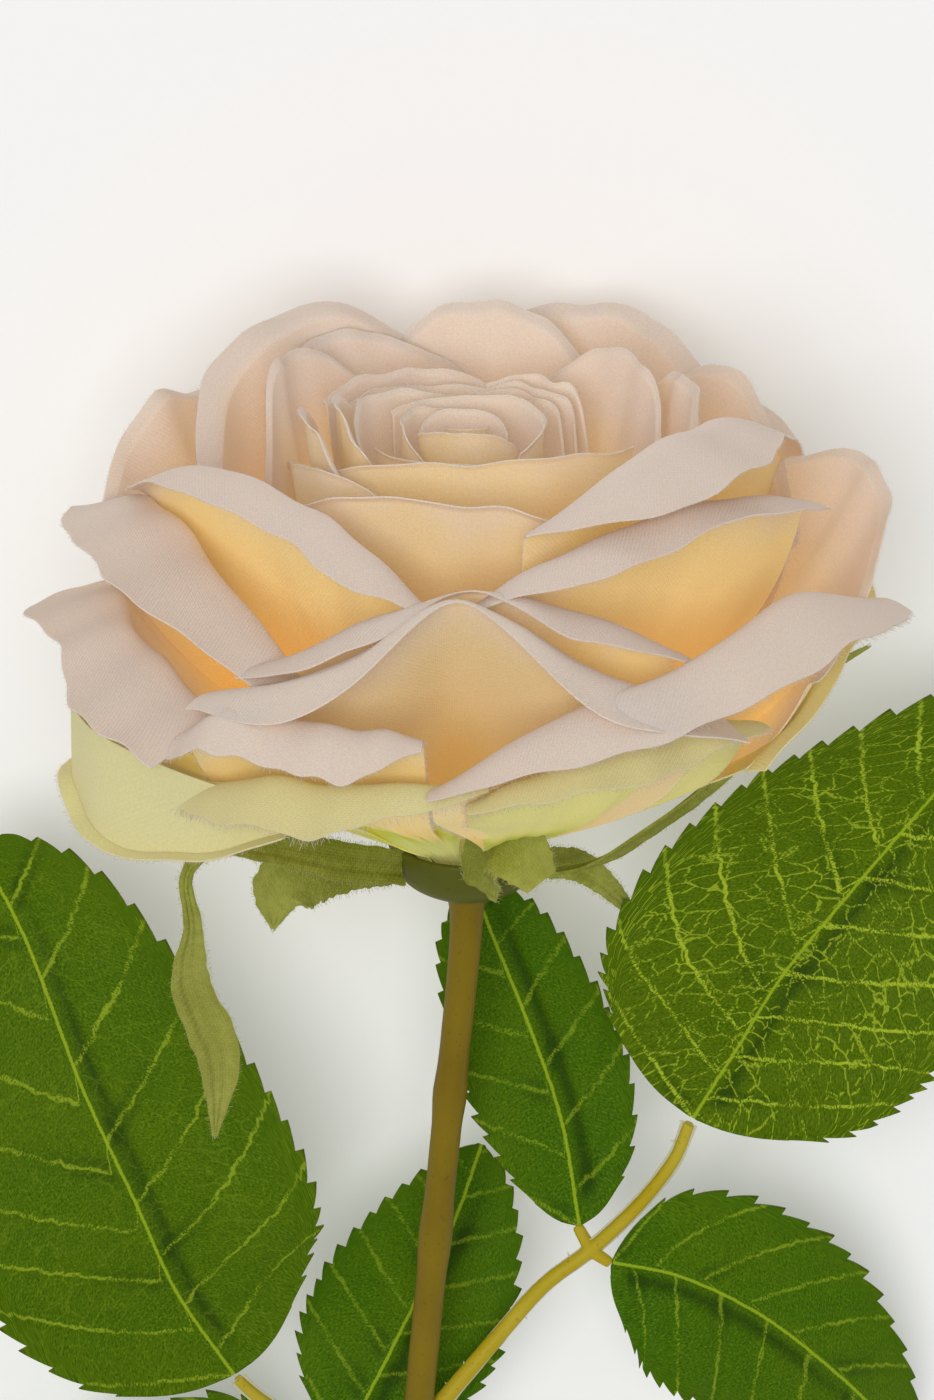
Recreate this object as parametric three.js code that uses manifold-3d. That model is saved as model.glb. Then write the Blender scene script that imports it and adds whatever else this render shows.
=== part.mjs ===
// An artificial cut rose: fabric petals, sepals and leaflets on a moulded plastic hip, stem and leaf stalks.
// It lies on a flat surface on its lowest petals and the cut end of its stem, with its best side up.
//
// Every piece is first drawn upright, in millimetres, in the bloom's own axes: X to the right, Y up the
// bloom's axis from the foot of the hip, Z towards the side that ends on top. One turn about X lays it down.

import * as THREE from 'three';
import { mergeVertices } from 'three/addons/utils/BufferGeometryUtils.js';
import Module from 'manifold-3d';

const wasm = await Module();
wasm.setup();

// Driving dimensions, in millimetres.
const bloomRadius = 58;
const bloomHeight = 73;
const petalThickness = 0.4;
const petalFootRadius = 2.6;
const petalFootRise = 11;
const hipRadius = 10.2;
const hipHeight = 6;
const hipWall = 1.2;
const hipFootRadius = 3.4;
const stemLength = 268;
const stemRadius = 1.95;
const stemTopRadius = 3;
const stemFlareLength = 16;
const stalkRadius = 1.1;
const stalkTipRadius = 0.8;
const leafletThickness = 0.5;
const bigLeafletWidth = 48;
const sideLeafletWidth = 30;
const smallLeafletWidth = 22;
const lowLeafletWidth = 27;
const sepalThickness = 0.5;
const clearance = 0.3;
const finestDetail = 0.05;

// The petals and sepals below are drawn for a bloom and a hip of this size, and stretched to the one wanted.
const drawnBloomRadius = 58;
const drawnBloomHeight = 73;
const drawnHipRadius = 10.2;
const radiusScale = bloomRadius / drawnBloomRadius;
const heightScale = bloomHeight / drawnBloomHeight;
const hipScale = hipRadius / drawnHipRadius;

const IVORY = { color: 0xeadccb, roughness: 0.85 };
const BUTTER = { color: 0xf0d3a2, roughness: 0.85 };
const LIME = { color: 0xdfe0a0, roughness: 0.85 };
const LEAF = { color: 0x4f7d1c, roughness: 0.7 };
const OLIVE = { color: 0x8a8f4e, roughness: 0.8 };
const HIP = { color: 0x5c6632, roughness: 0.65 };
const STEM = { color: 0x83713a, roughness: 0.5 };
const STALK = { color: 0xb9a94c, roughness: 0.5 };

const rose = new THREE.Group();

function addMesh(name, geometry, finish) {
  const mesh = new THREE.Mesh(geometry, new THREE.MeshStandardMaterial({ ...finish, metalness: 0 }));
  mesh.name = name;
  rose.add(mesh);
  return mesh;
}

// Solids for cutting and joining.
function toSolid(geometry) {
  const bare = geometry.clone();
  bare.deleteAttribute('normal');
  bare.deleteAttribute('uv');
  const merged = mergeVertices(bare, 1e-4);
  const vertProperties = new Float32Array(merged.attributes.position.array);
  const triVerts = new Uint32Array(merged.index.array);
  return new wasm.Manifold(new wasm.Mesh({ numProp: 3, vertProperties, triVerts }));
}

function toGeometry(solid) {
  const mesh = solid.getMesh();
  const geometry = new THREE.BufferGeometry();
  geometry.setAttribute('position', new THREE.BufferAttribute(mesh.vertProperties, 3));
  geometry.setIndex(new THREE.BufferAttribute(mesh.triVerts, 1));
  geometry.computeVertexNormals();
  return geometry;
}

// Crumbs that a cut leaves are dropped, and corners closer together than the finest detail are merged.
function largestPiece(solid) {
  const pieces = solid.asOriginal().simplify(finestDetail).decompose();
  return pieces.reduce((best, piece) => (piece.volume() > best.volume() ? piece : best));
}

// A sheet of even thickness: a flat box whose faces are bent onto surface(u, v), with u and v from -1 to 1.
// A reach above 0 makes it larger all round its edge, which leaves a gap when it cuts another sheet.
function sheet(surface, thickness, columns, rows, reach = 0) {
  const geometry = new THREE.BoxGeometry(2, 2, 1, columns, rows, 1);
  const place = geometry.attributes.position;
  const step = 1e-3;
  for (let i = 0; i < place.count; i += 1) {
    const u = place.getX(i);
    const v = place.getY(i);
    const inU = u > 0 ? u - step : u + step;
    const inV = v > 0 ? v - step : v + step;
    const point = surface(u, v);
    const alongU = surface(inU, v).sub(point).multiplyScalar(u > 0 ? -1 : 1).normalize();
    const alongV = surface(u, inV).sub(point).multiplyScalar(v > 0 ? -1 : 1).normalize();
    const normal = new THREE.Vector3().crossVectors(alongU, alongV).normalize();
    point.addScaledVector(normal, place.getZ(i) * (thickness + 2 * reach));
    if (Math.abs(u) === 1) point.addScaledVector(alongU, u * reach);
    if (Math.abs(v) === 1) point.addScaledVector(alongV, v * reach);
    place.setXYZ(i, point.x, point.y, point.z);
  }
  return geometry;
}

// A round rod along a curve, with closed ends. radiusAt takes the share of the length, from 0 to 1.
function rod(curve, radiusAt, sides, steps) {
  const geometry = new THREE.CylinderGeometry(1, 1, 1, sides, steps);
  const place = geometry.attributes.position;
  for (let i = 0; i < place.count; i += 1) {
    const share = place.getY(i) + 0.5;
    const centre = curve.getPointAt(share);
    const tangent = curve.getTangentAt(share);
    const across = new THREE.Vector3().crossVectors(tangent, new THREE.Vector3(0, 0, 1)).normalize();
    const over = new THREE.Vector3().crossVectors(across, tangent);
    centre.addScaledVector(across, place.getX(i) * radiusAt(share));
    centre.addScaledVector(over, place.getZ(i) * radiusAt(share));
    place.setXYZ(i, centre.x, centre.y, centre.z);
  }
  return geometry;
}

const curveThrough = (points) => new THREE.CatmullRomCurve3(
  points.map(([x, y, z]) => new THREE.Vector3(x, y, z)), false, 'catmullrom', 0.5);

// Petals, from the heart out. Each is a fan of columns that rise from a narrow foot to a crease, where the
// cloth turns over into a lip. The crease is given at five columns from the petal's left edge to its right:
// az, the azimuth in degrees, 0 towards the top side and 90 to the right; out, the distance from the axis;
// up, the height; lip, the length of cloth past the crease. lean is the crease's slope from the axis and
// curl is how far the lip turns past it, both in degrees.
const petals = [
  { name: 'petal_core_1', az: [-150, -75, 0, 75, 150], out: [3.2, 2.4, 2.2, 2.4, 2.9],
    up: [62, 65, 66, 65, 62], lip: 0.6, lean: 0, curl: 10, finish: BUTTER },
  { name: 'petal_core_2', az: [95, 140, 185, 230, 275], out: [5.0, 5.3, 5.6, 5.8, 6.0],
    up: [63, 67, 68.5, 67.5, 63], lip: 1, lean: -8, curl: -20, finish: BUTTER },
  { name: 'petal_core_3', az: [-80, -35, 5, 45, 95], out: [6.8, 6.9, 7.0, 7.2, 7.6],
    up: [62, 65.5, 66.5, 66, 62], lip: 0.8, lean: 0, curl: 20, finish: BUTTER },
  { name: 'petal_core_4', az: [-150, -115, -85, -60, -30], out: [8.6, 8.8, 9.0, 9.2, 9.4],
    up: [60, 66, 68, 66.5, 60], lip: 2, lean: 0, curl: 60, finish: BUTTER },
  { name: 'petal_core_5', az: [40, 75, 105, 140, 175], out: [9.3, 9.8, 10.2, 10.4, 10.4],
    up: [60, 67, 70, 69, 62], lip: 1, lean: 0, curl: 25, finish: BUTTER },
  { name: 'petal_heart_1', az: [-60, -25, 5, 35, 70], out: [11.4, 11.6, 11.8, 12, 12.3],
    up: [61, 66.5, 68, 67, 60], lip: 1, lean: 2, curl: 30, finish: BUTTER },
  { name: 'petal_heart_2', az: [-180, -155, -130, -105, -75], out: [13.2, 13.2, 13.4, 13.5, 13.7],
    up: [62, 68.5, 70, 68, 60], lip: 1.4, lean: 0, curl: 30, finish: BUTTER },
  { name: 'petal_heart_3', az: [70, 100, 130, 155, 185], out: [13.6, 13.8, 14, 14.2, 14.5],
    up: [61, 70, 72, 71, 62], lip: 1.2, lean: 2, curl: 30, finish: BUTTER },
  { name: 'petal_heart_4', az: [40, 72, 100, 125, 150], out: [15.4, 15.7, 16, 16.2, 16.4],
    up: [60, 69, 71.5, 70, 62], lip: 1.2, lean: 2, curl: 35, finish: BUTTER },
  { name: 'petal_heart_5', az: [-125, -105, -85, -65, -45], out: [15.6, 15.8, 16, 16, 16],
    up: [60, 66.5, 68.5, 67, 60], lip: 2.4, lean: 2, curl: 70, finish: BUTTER },
  { name: 'petal_heart_6', az: [25, 50, 75, 98, 120], out: [17.5, 17.8, 18, 18.3, 18.6],
    up: [59, 68, 70.5, 69.5, 61], lip: 1.2, lean: 2, curl: 30, finish: BUTTER },
  { name: 'petal_heart_7', az: [150, 172, 195, 218, 240], out: [17.5, 18, 18.5, 18.5, 18.5],
    up: [60, 67, 69, 67.5, 60], lip: 1.5, lean: 4, curl: 30, finish: BUTTER },
  { name: 'petal_inner_front', az: [-66, -32, 4, 38, 74], out: [19.9, 19.2, 19, 20, 22.5],
    up: [62, 69, 70.5, 69.5, 66], lip: 0.8, lean: 4, curl: 30, finish: BUTTER },
  { name: 'petal_inner_left', az: [-126, -112, -100, -88, -72], out: [20.5, 20.6, 20.8, 21, 21.4],
    up: [58, 65.5, 68, 66, 58], lip: 2.6, lean: 4, curl: 80, finish: BUTTER },
  { name: 'petal_inner_back', az: [165, 185, 205, 222, 240], out: [22, 22, 22, 22, 22],
    up: [57, 65.5, 67.5, 65.5, 57], lip: 1.5, lean: 6, curl: 30, finish: IVORY },
  { name: 'petal_inner_right', az: [88, 108, 128, 146, 168], out: [24.6, 25.2, 25.6, 25.6, 25],
    up: [55, 66.5, 69, 67.3, 57], lip: 1.5, lean: 6, curl: 30, finish: IVORY },
  { name: 'petal_inner_left_low', az: [-104, -80, -56, -32, -10], out: [23.5, 23.2, 23.2, 24, 24.5],
    up: [58, 63, 65.5, 65.5, 58], lip: 0.8, lean: 6, curl: 20, finish: BUTTER },
  { name: 'petal_inner_left_tall', az: [-146, -130, -112, -95, -76], out: [26.4, 26.4, 26.4, 26, 26],
    up: [59, 69, 70, 66.3, 56], lip: 2, lean: 4, curl: 60, finish: IVORY },
  { name: 'petal_middle_front', az: [-62, -32, -4, 22, 50], out: [29.5, 28.4, 28, 28.8, 31.5],
    up: [59, 66.8, 67.8, 66, 57], lip: 1.4, lean: 8, curl: 40, finish: BUTTER },
  { name: 'petal_middle_right', az: [70, 88, 106, 122, 140], out: [29, 29, 29.3, 29.3, 29],
    up: [56, 67, 70, 67.8, 57], lip: 2, lean: 8, curl: 50, finish: IVORY },
  { name: 'petal_middle_back_left', az: [178, 192, 206, 220, 236], out: [30.5, 30.5, 30.8, 31, 31],
    up: [56, 65, 68, 67.5, 59], lip: 2, lean: 8, curl: 50, finish: IVORY },
  { name: 'petal_left_cup', az: [-172, -148, -122, -97, -70], out: [34, 33.4, 33, 32.4, 32],
    up: [62, 71.3, 69.6, 62.6, 49], lip: [2, 3, 4, 4, 2], lean: 8, curl: 70, finish: IVORY },
  { name: 'petal_middle_back', az: [146, 160, 174, 188, 202], out: [33.4, 33.4, 33.6, 33.6, 33.4],
    up: [57, 67, 69.8, 68.4, 59], lip: 2, lean: 10, curl: 50, finish: IVORY },
  { name: 'petal_right_flap', az: [12, 35, 58, 76, 96], out: [34.5, 32.6, 32.6, 36.4, 41.5],
    up: [65, 71.5, 73, 70.5, 60], lip: [2, 11, 12, 7, 3], lean: 8, curl: 105, finish: IVORY },
  { name: 'petal_left_flap', az: [-90, -64, -40, -22, -6], out: [42, 37, 34.5, 35.2, 38],
    up: [57, 67.3, 67.5, 63.6, 56], lip: [3, 7, 8, 8, 3], lean: 8, curl: 110, finish: IVORY },
  { name: 'petal_right_lip', az: [-2, 16, 36, 56, 76], out: [38.5, 37.6, 38.4, 41.4, 45],
    up: [56.5, 63, 66.3, 66.2, 60], lip: [2, 7, 7.5, 7, 4], lean: 10, curl: 105, finish: IVORY },
  { name: 'petal_back_right', az: [122, 138, 153, 167, 182], out: [39.5, 40.5, 41.2, 40.3, 39],
    up: [56, 65, 67.3, 66.3, 59], lip: 3, lean: 12, curl: 60, finish: IVORY },
  { name: 'petal_right_shoulder', az: [84, 99, 114, 128, 142], out: [42.6, 39.6, 38.2, 38, 37.4],
    up: [51, 62, 66.3, 64.5, 55], lip: 2, lean: 10, curl: 50, finish: IVORY },
  { name: 'petal_left_shoulder', az: [-146, -126, -110, -98, -84], out: [39.6, 40.6, 42.4, 45.8, 48],
    up: [53, 59.6, 64.8, 58.4, 49], lip: 2, lean: 12, curl: 50, finish: IVORY },
  { name: 'petal_back_left', az: [182, 197, 211, 225, 240], out: [39, 39.5, 39.5, 39.5, 39],
    up: [54, 61.5, 64.5, 62.5, 54], lip: 2.5, lean: 12, curl: 60, finish: IVORY },
  { name: 'petal_front_inner', az: [-36, -17, 0, 17, 36], out: [46, 42.4, 38.6, 42, 45.4],
    up: [48.5, 56, 59.4, 58.3, 50], lip: [4, 7, 1.4, 7, 4], lean: 14, curl: 105, finish: IVORY },
  { name: 'petal_left_wing', az: [-101, -86, -66, -46, -26], out: [43.4, 41.4, 38.8, 40.4, 44],
    up: [51, 58, 57.8, 54.3, 47], lip: [7, 11, 12.5, 11, 5], lean: 22, curl: 88, finish: IVORY },
  { name: 'petal_front', az: [-40, -20, -1, 18, 38], out: [51, 47.4, 42.8, 47.4, 50],
    up: [45.5, 52.3, 60, 52.5, 43], lip: [4, 8, 1.4, 8, 6], lean: 16, curl: 105, finish: BUTTER },
  { name: 'petal_right_outer', az: [60, 74, 88, 100, 114], out: [51, 53.6, 54, 51.6, 45.4],
    up: [41, 50, 56.8, 58.2, 53], lip: 2, lean: 24, curl: 30, finish: IVORY },
  { name: 'petal_left_point', az: [-98, -83, -69, -55, -41], out: [45, 46, 46.4, 47, 48.6],
    up: [42, 46.4, 46, 44.8, 41.5], lip: [9, 12.5, 13, 11, 5], lean: 30, curl: 85, finish: IVORY },
  { name: 'petal_front_left_roll', az: [-42, -33, -23, -14, -6], out: [53.6, 53.8, 53.8, 53.2, 52.4],
    up: [40.5, 46.6, 46.7, 46.7, 45], lip: [5, 8, 8, 8, 3], lean: 22, curl: 120, finish: IVORY },
  { name: 'petal_front_right_long', az: [-5, 12, 32, 55, 78], out: [53.4, 52, 50, 49.8, 54.5],
    up: [38.5, 47.3, 50.8, 54.6, 46.8], lip: [3, 7, 8, 9, 4], lean: 22, curl: 112, finish: IVORY },
  { name: 'petal_front_right_low', az: [0, 12, 24, 36, 50], out: [50.5, 51, 50.5, 49.5, 48],
    up: [35.5, 40.5, 42.5, 42.5, 38], lip: [3, 6, 7, 6, 3], lean: 24, curl: 110, finish: LIME },
  { name: 'petal_back_right_low', az: [112, 130, 147, 163, 179], out: [50, 53, 52.6, 46.6, 44.6],
    up: [40, 51, 55, 54, 44], lip: 3.5, lean: 22, curl: 60, finish: IVORY },
  { name: 'petal_back_left_low', az: [181, 197, 213, 230, 248], out: [44.6, 46.6, 52.6, 53, 50],
    up: [44, 54, 55, 51, 40], lip: 3.5, lean: 22, curl: 60, finish: IVORY },
  { name: 'petal_right_guard', az: [52, 70, 88, 106, 122], out: [46, 49, 51, 50, 47],
    up: [30, 38, 42, 41, 34], lip: 3, lean: 40, curl: 30, finish: LIME },
  { name: 'petal_left_guard', az: [-90, -74, -58, -42, -24], out: [48.5, 55, 55.5, 53, 50.5],
    up: [27.5, 30, 29.5, 29.5, 30.5], lip: 2, lean: 75, curl: 25, finish: LIME },
  { name: 'petal_front_guard', az: [-38, -28, -18, -8, 3], out: [51, 52, 52.4, 52.2, 51],
    up: [30, 35, 37, 37.6, 35.5], lip: [3, 7, 8, 8, 4], lean: 50, curl: 92, finish: LIME },
  { name: 'petal_floor_guard', az: [150, 168, 186, 204, 222], out: [43, 43.5, 43.5, 43.5, 43],
    up: [28, 36, 39, 36, 28], lip: 2, lean: 40, curl: 30, finish: LIME },
];

const degrees = Math.PI / 180;
const crease = new THREE.Vector3();

function prepared(petal) {
  const lips = Array.isArray(petal.lip) ? petal.lip : petal.az.map(() => petal.lip);
  const rim = curveThrough(petal.az.map((az, i) => [az, petal.out[i], petal.up[i]]));
  const lipLength = curveThrough(lips.map((lip, i) => [i, lip, 0]));
  const depth = Math.max(0, 1 - Math.max(...petal.out) / drawnBloomRadius);
  const foot = hipWall + clearance + petalThickness + depth * petalFootRise;
  return { ...petal, rim, lipLength, foot };
}

// The point of a petal at column u and row v. Rows up to bodyEnd are the body; the rest are the lip.
const bodyEnd = 0.2;
const footWidth = 0.5;
const bellyOut = 0.33;
const bellyUp = 0.2;
const creaseReach = 0.4;
const rollRadius = 1.1;

function petalPoint(petal, u, v) {
  const share = THREE.MathUtils.clamp((u + 1) / 2, 0, 1);
  petal.rim.getPoint(share, crease);
  const middle = (petal.az[0] + petal.az[4]) / 2;
  const rimOut = crease.y * radiusScale;
  const rimUp = crease.z * heightScale;
  const rise = Math.min(1, (v + 1) / (bodyEnd + 1));
  const lean = petal.lean * degrees;
  const span = Math.hypot(rimOut, rimUp - petal.foot) * creaseReach;
  const footOut = petalFootRadius * hipScale;
  const outs = [footOut, footOut + bellyOut * rimOut * hipScale, rimOut - span * Math.sin(lean), rimOut];
  const ups = [petal.foot, petal.foot + bellyUp * rimUp, rimUp - span * Math.cos(lean), rimUp];
  const bezier = (p) => (1 - rise) ** 3 * p[0] + 3 * (1 - rise) ** 2 * rise * p[1]
    + 3 * (1 - rise) * rise ** 2 * p[2] + rise ** 3 * p[3];
  let out = bezier(outs);
  let up = bezier(ups);
  if (v > bodyEnd) {
    const run = ((v - bodyEnd) / (1 - bodyEnd)) * petal.lipLength.getPoint(share).y;
    const curl = petal.curl * degrees;
    const arc = rollRadius * Math.abs(curl);
    const turned = Math.min(run, arc);
    const angle = lean + (curl * turned) / arc;
    const side = Math.sign(curl) * rollRadius;
    out += side * (Math.cos(lean) - Math.cos(angle)) + (run - turned) * Math.sin(angle);
    up += side * (Math.sin(angle) - Math.sin(lean)) + (run - turned) * Math.cos(angle);
  }
  const spread = footWidth + (1 - footWidth) * Math.sin(rise * Math.PI / 2);
  const azimuth = (middle + (crease.x - middle) * spread) * degrees;
  return new THREE.Vector3(out * Math.sin(azimuth), up, out * Math.cos(azimuth));
}

// The hip is a cup that holds the petals' feet. Grown by an extra, it cuts the petals back from its wall.
// Its swell turns outwards at the belly and upwards at the shoulder, each a share of its radius and height.
const hipBelly = { out: 0.62, up: 0.12 };
const hipShoulder = { out: 0.86, up: 0.45 };
const hipSides = 18;

function hipGeometry(extra = 0) {
  const shoulderOut = hipShoulder.out * hipRadius;
  const shoulderUp = hipShoulder.up * hipHeight;
  const outline = [
    [0, -extra],
    [hipFootRadius + extra, -extra],
    [hipBelly.out * hipRadius + extra, hipBelly.up * hipHeight - extra],
    [shoulderOut + extra, shoulderUp - extra],
    [hipRadius + extra, hipHeight + extra],
    [hipRadius - hipWall - extra, hipHeight + extra],
    [shoulderOut - hipWall - extra, shoulderUp + hipWall + extra],
    [hipFootRadius, hipWall + extra],
    [0, hipWall + extra],
  ];
  return new THREE.LatheGeometry(outline.map(([out, up]) => new THREE.Vector2(out, up)), hipSides);
}

addMesh('hip', hipGeometry(), HIP);
const hipCutter = toSolid(hipGeometry(clearance));

// Each petal is cut back from the hip and from the petals inside it, so that no two touch.
const petalColumns = 6;
const petalRows = 5;
const cutters = [hipCutter];
for (const entry of petals) {
  const petal = prepared(entry);
  const surface = (u, v) => petalPoint(petal, u, v);
  let solid = toSolid(sheet(surface, petalThickness, petalColumns, petalRows));
  for (const cutter of cutters) solid = solid.subtract(cutter);
  addMesh(petal.name, toGeometry(largestPiece(solid)), petal.finish);
  cutters.push(toSolid(sheet(surface, petalThickness, petalColumns, petalRows, clearance)));
}

// A blade is a sheet along a midrib: a leaflet or a sepal. widthAt gives its half width at a share of the
// length, facing is the side its upper face turns to, and fold lifts its two halves into a shallow V.
function bladeSurface(midrib, widthAt, facing, fold) {
  const front = new THREE.Vector3(...facing).normalize();
  return (u, v) => {
    const share = (v + 1) / 2;
    const point = midrib.getPoint(share);
    const tangent = midrib.getTangent(share);
    const side = new THREE.Vector3().crossVectors(tangent, front).normalize();
    const over = new THREE.Vector3().crossVectors(side, tangent);
    const reach = u * widthAt(share);
    point.addScaledVector(side, reach * Math.cos(fold));
    return point.addScaledVector(over, Math.abs(reach) * Math.sin(fold));
  };
}

// Sepals hang from the hip's wall. az says where round the hip one starts, and drop how far under its rim.
// steps are the points of the midrib from there, for the bloom as drawn. Each blade narrows to a point.
const sepals = [
  { name: 'sepal_left_long', az: -54, drop: 0, width: 8.5, facing: [0.5, 0.7, 1],
    steps: [[-8, 4.5, 7.5], [-17, 11, 17.5], [-24, 15, 25.5], [-27.5, 12, 28], [-27, 4.5, 27.5],
      [-27.5, -4.5, 26.5], [-24, -15.5, 25.5], [-24.5, -27.5, 24.5]] },
  { name: 'sepal_left_short', az: -67, drop: 1.4, width: 10.5, facing: [0, 0.3, 1],
    steps: [[-4.2, 1.9, 3.4], [-10.2, 3.4, 6.9], [-14.7, 1.9, 9.9], [-15.7, -3.1, 11.4]] },
  { name: 'sepal_front', az: 10, drop: 1, width: 8, facing: [-0.3, 0.6, 1],
    steps: [[1.2, 3.4, 3.2], [3.4, 4.8, 5.8], [5.8, 2, 7.6], [7, -2, 8]] },
  { name: 'sepal_right_long', az: 66.5, drop: 1.5, width: 7, facing: [0.8, -0.6, 0.6],
    steps: [[8.8, 4, 3], [19.8, 13, 4], [29.8, 24, 4.5], [36.3, 30.5, 4.5], [42.8, 34.5, 3.5]] },
  { name: 'sepal_right_low', az: 95, drop: 2.6, width: 5, facing: [0.3, 0.2, 1],
    steps: [[3.8, -0.8, -1], [7.3, -3.8, -2], [10.2, -7.4, -3], [12.3, -10.8, -4]] },
];
const sepalColumns = 2;
const sepalRows = 8;
const sepalFold = 12 * degrees;
const sepalOutline = { narrowest: 0.08, fullness: 0.7 };

function sepalMidrib({ az, drop, steps }) {
  const out = hipRadius + clearance + sepalThickness;
  const [x, y, z] = [out * Math.sin(az * degrees), hipHeight - drop, out * Math.cos(az * degrees)];
  return curveThrough([[0, 0, 0], ...steps].map(([right, up, front]) => (
    [x + right * radiusScale, y + up * heightScale, z + front * radiusScale])));
}

for (const sepal of sepals) {
  const { narrowest, fullness } = sepalOutline;
  const widthAt = (share) => (
    (sepal.width / 2) * Math.max(narrowest, Math.cos(share * Math.PI / 2) ** fullness));
  const surface = bladeSurface(sepalMidrib(sepal), widthAt, sepal.facing, sepalFold);
  let solid = toSolid(sheet(surface, sepalThickness, sepalColumns, sepalRows));
  for (const cutter of cutters) solid = solid.subtract(cutter);
  addMesh(sepal.name, toGeometry(largestPiece(solid)), OLIVE);
}

// The stem runs from just under the hip to its cut end.
const stemTop = -clearance;
const stemLean = [[0, 0], [-0.4, -10], [-2.9, -37], [-6.7, -79], [-10.4, -125], [-13.4, -190]];
const stemPath = curveThrough([
  ...stemLean.map(([x, y]) => [x, y + stemTop, 0]),
  [-15, stemTop - stemLength, 0],
]);
const stemSides = 10;
const stemSteps = 14;
const flare = (share) => Math.max(0, 1 - (share * stemLength) / stemFlareLength) ** 2;
const stemRadiusAt = (share) => stemRadius + (stemTopRadius - stemRadius) * flare(share);
addMesh('stem', rod(stemPath, stemRadiusAt, stemSides, stemSteps), STEM);

// Each spray is a moulded stalk with a fork and three leaflets: one at its end and one on each twig of the
// fork. height and az say where it seats on the stem, and its points are steps from there. A leaflet's
// points are steps from its own base, which follows the tip that holds it.
const stalkSides = 8;
const stalkSteps = 10;
const twigSteps = 2;
const stemSamples = 800;
const leafletColumns = 4;
const leafletRows = 8;
const leafletFold = 8 * degrees;
const leafletOutline = { narrowest: 0.05, belly: 0.78, fullness: 0.68 };
const leafletSide = [0, 0.15, 1];

const sprays = [
  { name: 'stalk_right', height: -81.5, az: 120,
    path: [[0, 0, 0], [8.4, 10, -3.2], [14.7, 17.3, -4.4], [21.3, 22.6, -5.2], [27.8, 30, -4.4],
      [32.5, 37.5, -3.2], [34.6, 43.7, -2.4]],
    twigs: [[[21.3, 22.6, -5.2], [20.5, 23.5, -6], [19.8, 24.5, -6.8]],
      [[21.3, 22.6, -5.2], [22.2, 21.6, -5.3], [23.2, 20.8, -5.4]]],
    leaflets: [
      { name: 'leaflet_right_end', width: bigLeafletWidth,
        steps: [[6, 10.8, -0.3], [12, 21.8, -0.3], [21.4, 33.8, -2.3], [30.8, 43.3, -7.8],
          [45.8, 55.8, -20.8]] },
      { name: 'leaflet_right_back', width: smallLeafletWidth,
        steps: [[-2.5, 14.7, -2.8], [-6.8, 27.8, -4.8], [-12.1, 41.2, -7.3], [-14.9, 48.2, -9.3]] },
      { name: 'leaflet_right_low', width: sideLeafletWidth,
        steps: [[9.8, -2.7, -0.6], [20.8, -9.7, -2.6], [31.3, -20.2, -5.6], [42.8, -35.7, -12.6]] }] },
  { name: 'stalk_left', height: -108, az: -132,
    path: [[0, 0, 0], [-3.8, 7, -3.2], [-8.4, 15, -4.6], [-13.3, 22, -4.2], [-18, 27.2, -2.4],
      [-20.4, 30.4, -1.2]],
    twigs: [[[-8.4, 15, -4.6], [-7.2, 16, -5.4], [-6, 17, -6.2]],
      [[-8.4, 15, -4.6], [-9.6, 14.4, -4.8], [-10.8, 13.8, -5]]],
    leaflets: [
      { name: 'leaflet_left_end', width: bigLeafletWidth,
        steps: [[-7.6, 13.8, 1.8], [-13, 28.3, 2.8], [-20.2, 45.3, 0.8], [-27.8, 64.3, -6.2],
          [-35.3, 74.8, -16.2]] },
      { name: 'leaflet_left_back', width: lowLeafletWidth,
        steps: [[5.1, 9.9, -2.2], [10.2, 20.4, -4.2], [15.4, 31.4, -6.2], [19.2, 41.9, -9.2]] },
      { name: 'leaflet_left_low', width: sideLeafletWidth,
        steps: [[-10.1, -1.9, -0.9], [-21.1, -8.9, -2.9], [-31.1, -19.4, -5.9], [-40.1, -34.4, -12.9]] }] },
];

// Where a spray seats: beside the stem, a clearance off its wall.
function stemSeat(height, az) {
  const centre = stemPath.getPoints(stemSamples).find((point) => point.y <= height);
  const out = stemRadius + clearance + stalkRadius;
  return centre.add(new THREE.Vector3(out * Math.sin(az * degrees), 0, out * Math.cos(az * degrees)));
}

const stepsFrom = (start, steps) => steps.map(([x, y, z]) => [start.x + x, start.y + y, start.z + z]);

function addLeaflet({ name, width, steps }, tip) {
  const heading = new THREE.Vector3(...steps[0]).normalize();
  const base = new THREE.Vector3(...tip).addScaledVector(heading, clearance + stalkTipRadius);
  const midrib = curveThrough(stepsFrom(base, [[0, 0, 0], ...steps]));
  const { narrowest, belly, fullness } = leafletOutline;
  const widthAt = (share) => (
    (width / 2) * Math.max(narrowest, Math.sin(Math.PI * share ** belly) ** fullness));
  const surface = bladeSurface(midrib, widthAt, leafletSide, leafletFold);
  addMesh(name, sheet(surface, leafletThickness, leafletColumns, leafletRows), LEAF);
}

for (const { name, height, az, path, twigs, leaflets } of sprays) {
  const seat = stemSeat(height, az);
  const [main, ...side] = [path, ...twigs].map((steps) => stepsFrom(seat, steps));
  const radiusAt = (share) => stalkRadius + (stalkTipRadius - stalkRadius) * share;
  let solid = toSolid(rod(curveThrough(main), radiusAt, stalkSides, stalkSteps));
  for (const twig of side) {
    solid = solid.add(toSolid(rod(curveThrough(twig), () => stalkTipRadius, stalkSides, twigSteps)));
  }
  addMesh(name, toGeometry(solid), STALK);
  leaflets.forEach((leaflet, i) => addLeaflet(leaflet, [main, ...side][i].at(-1)));
}

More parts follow.
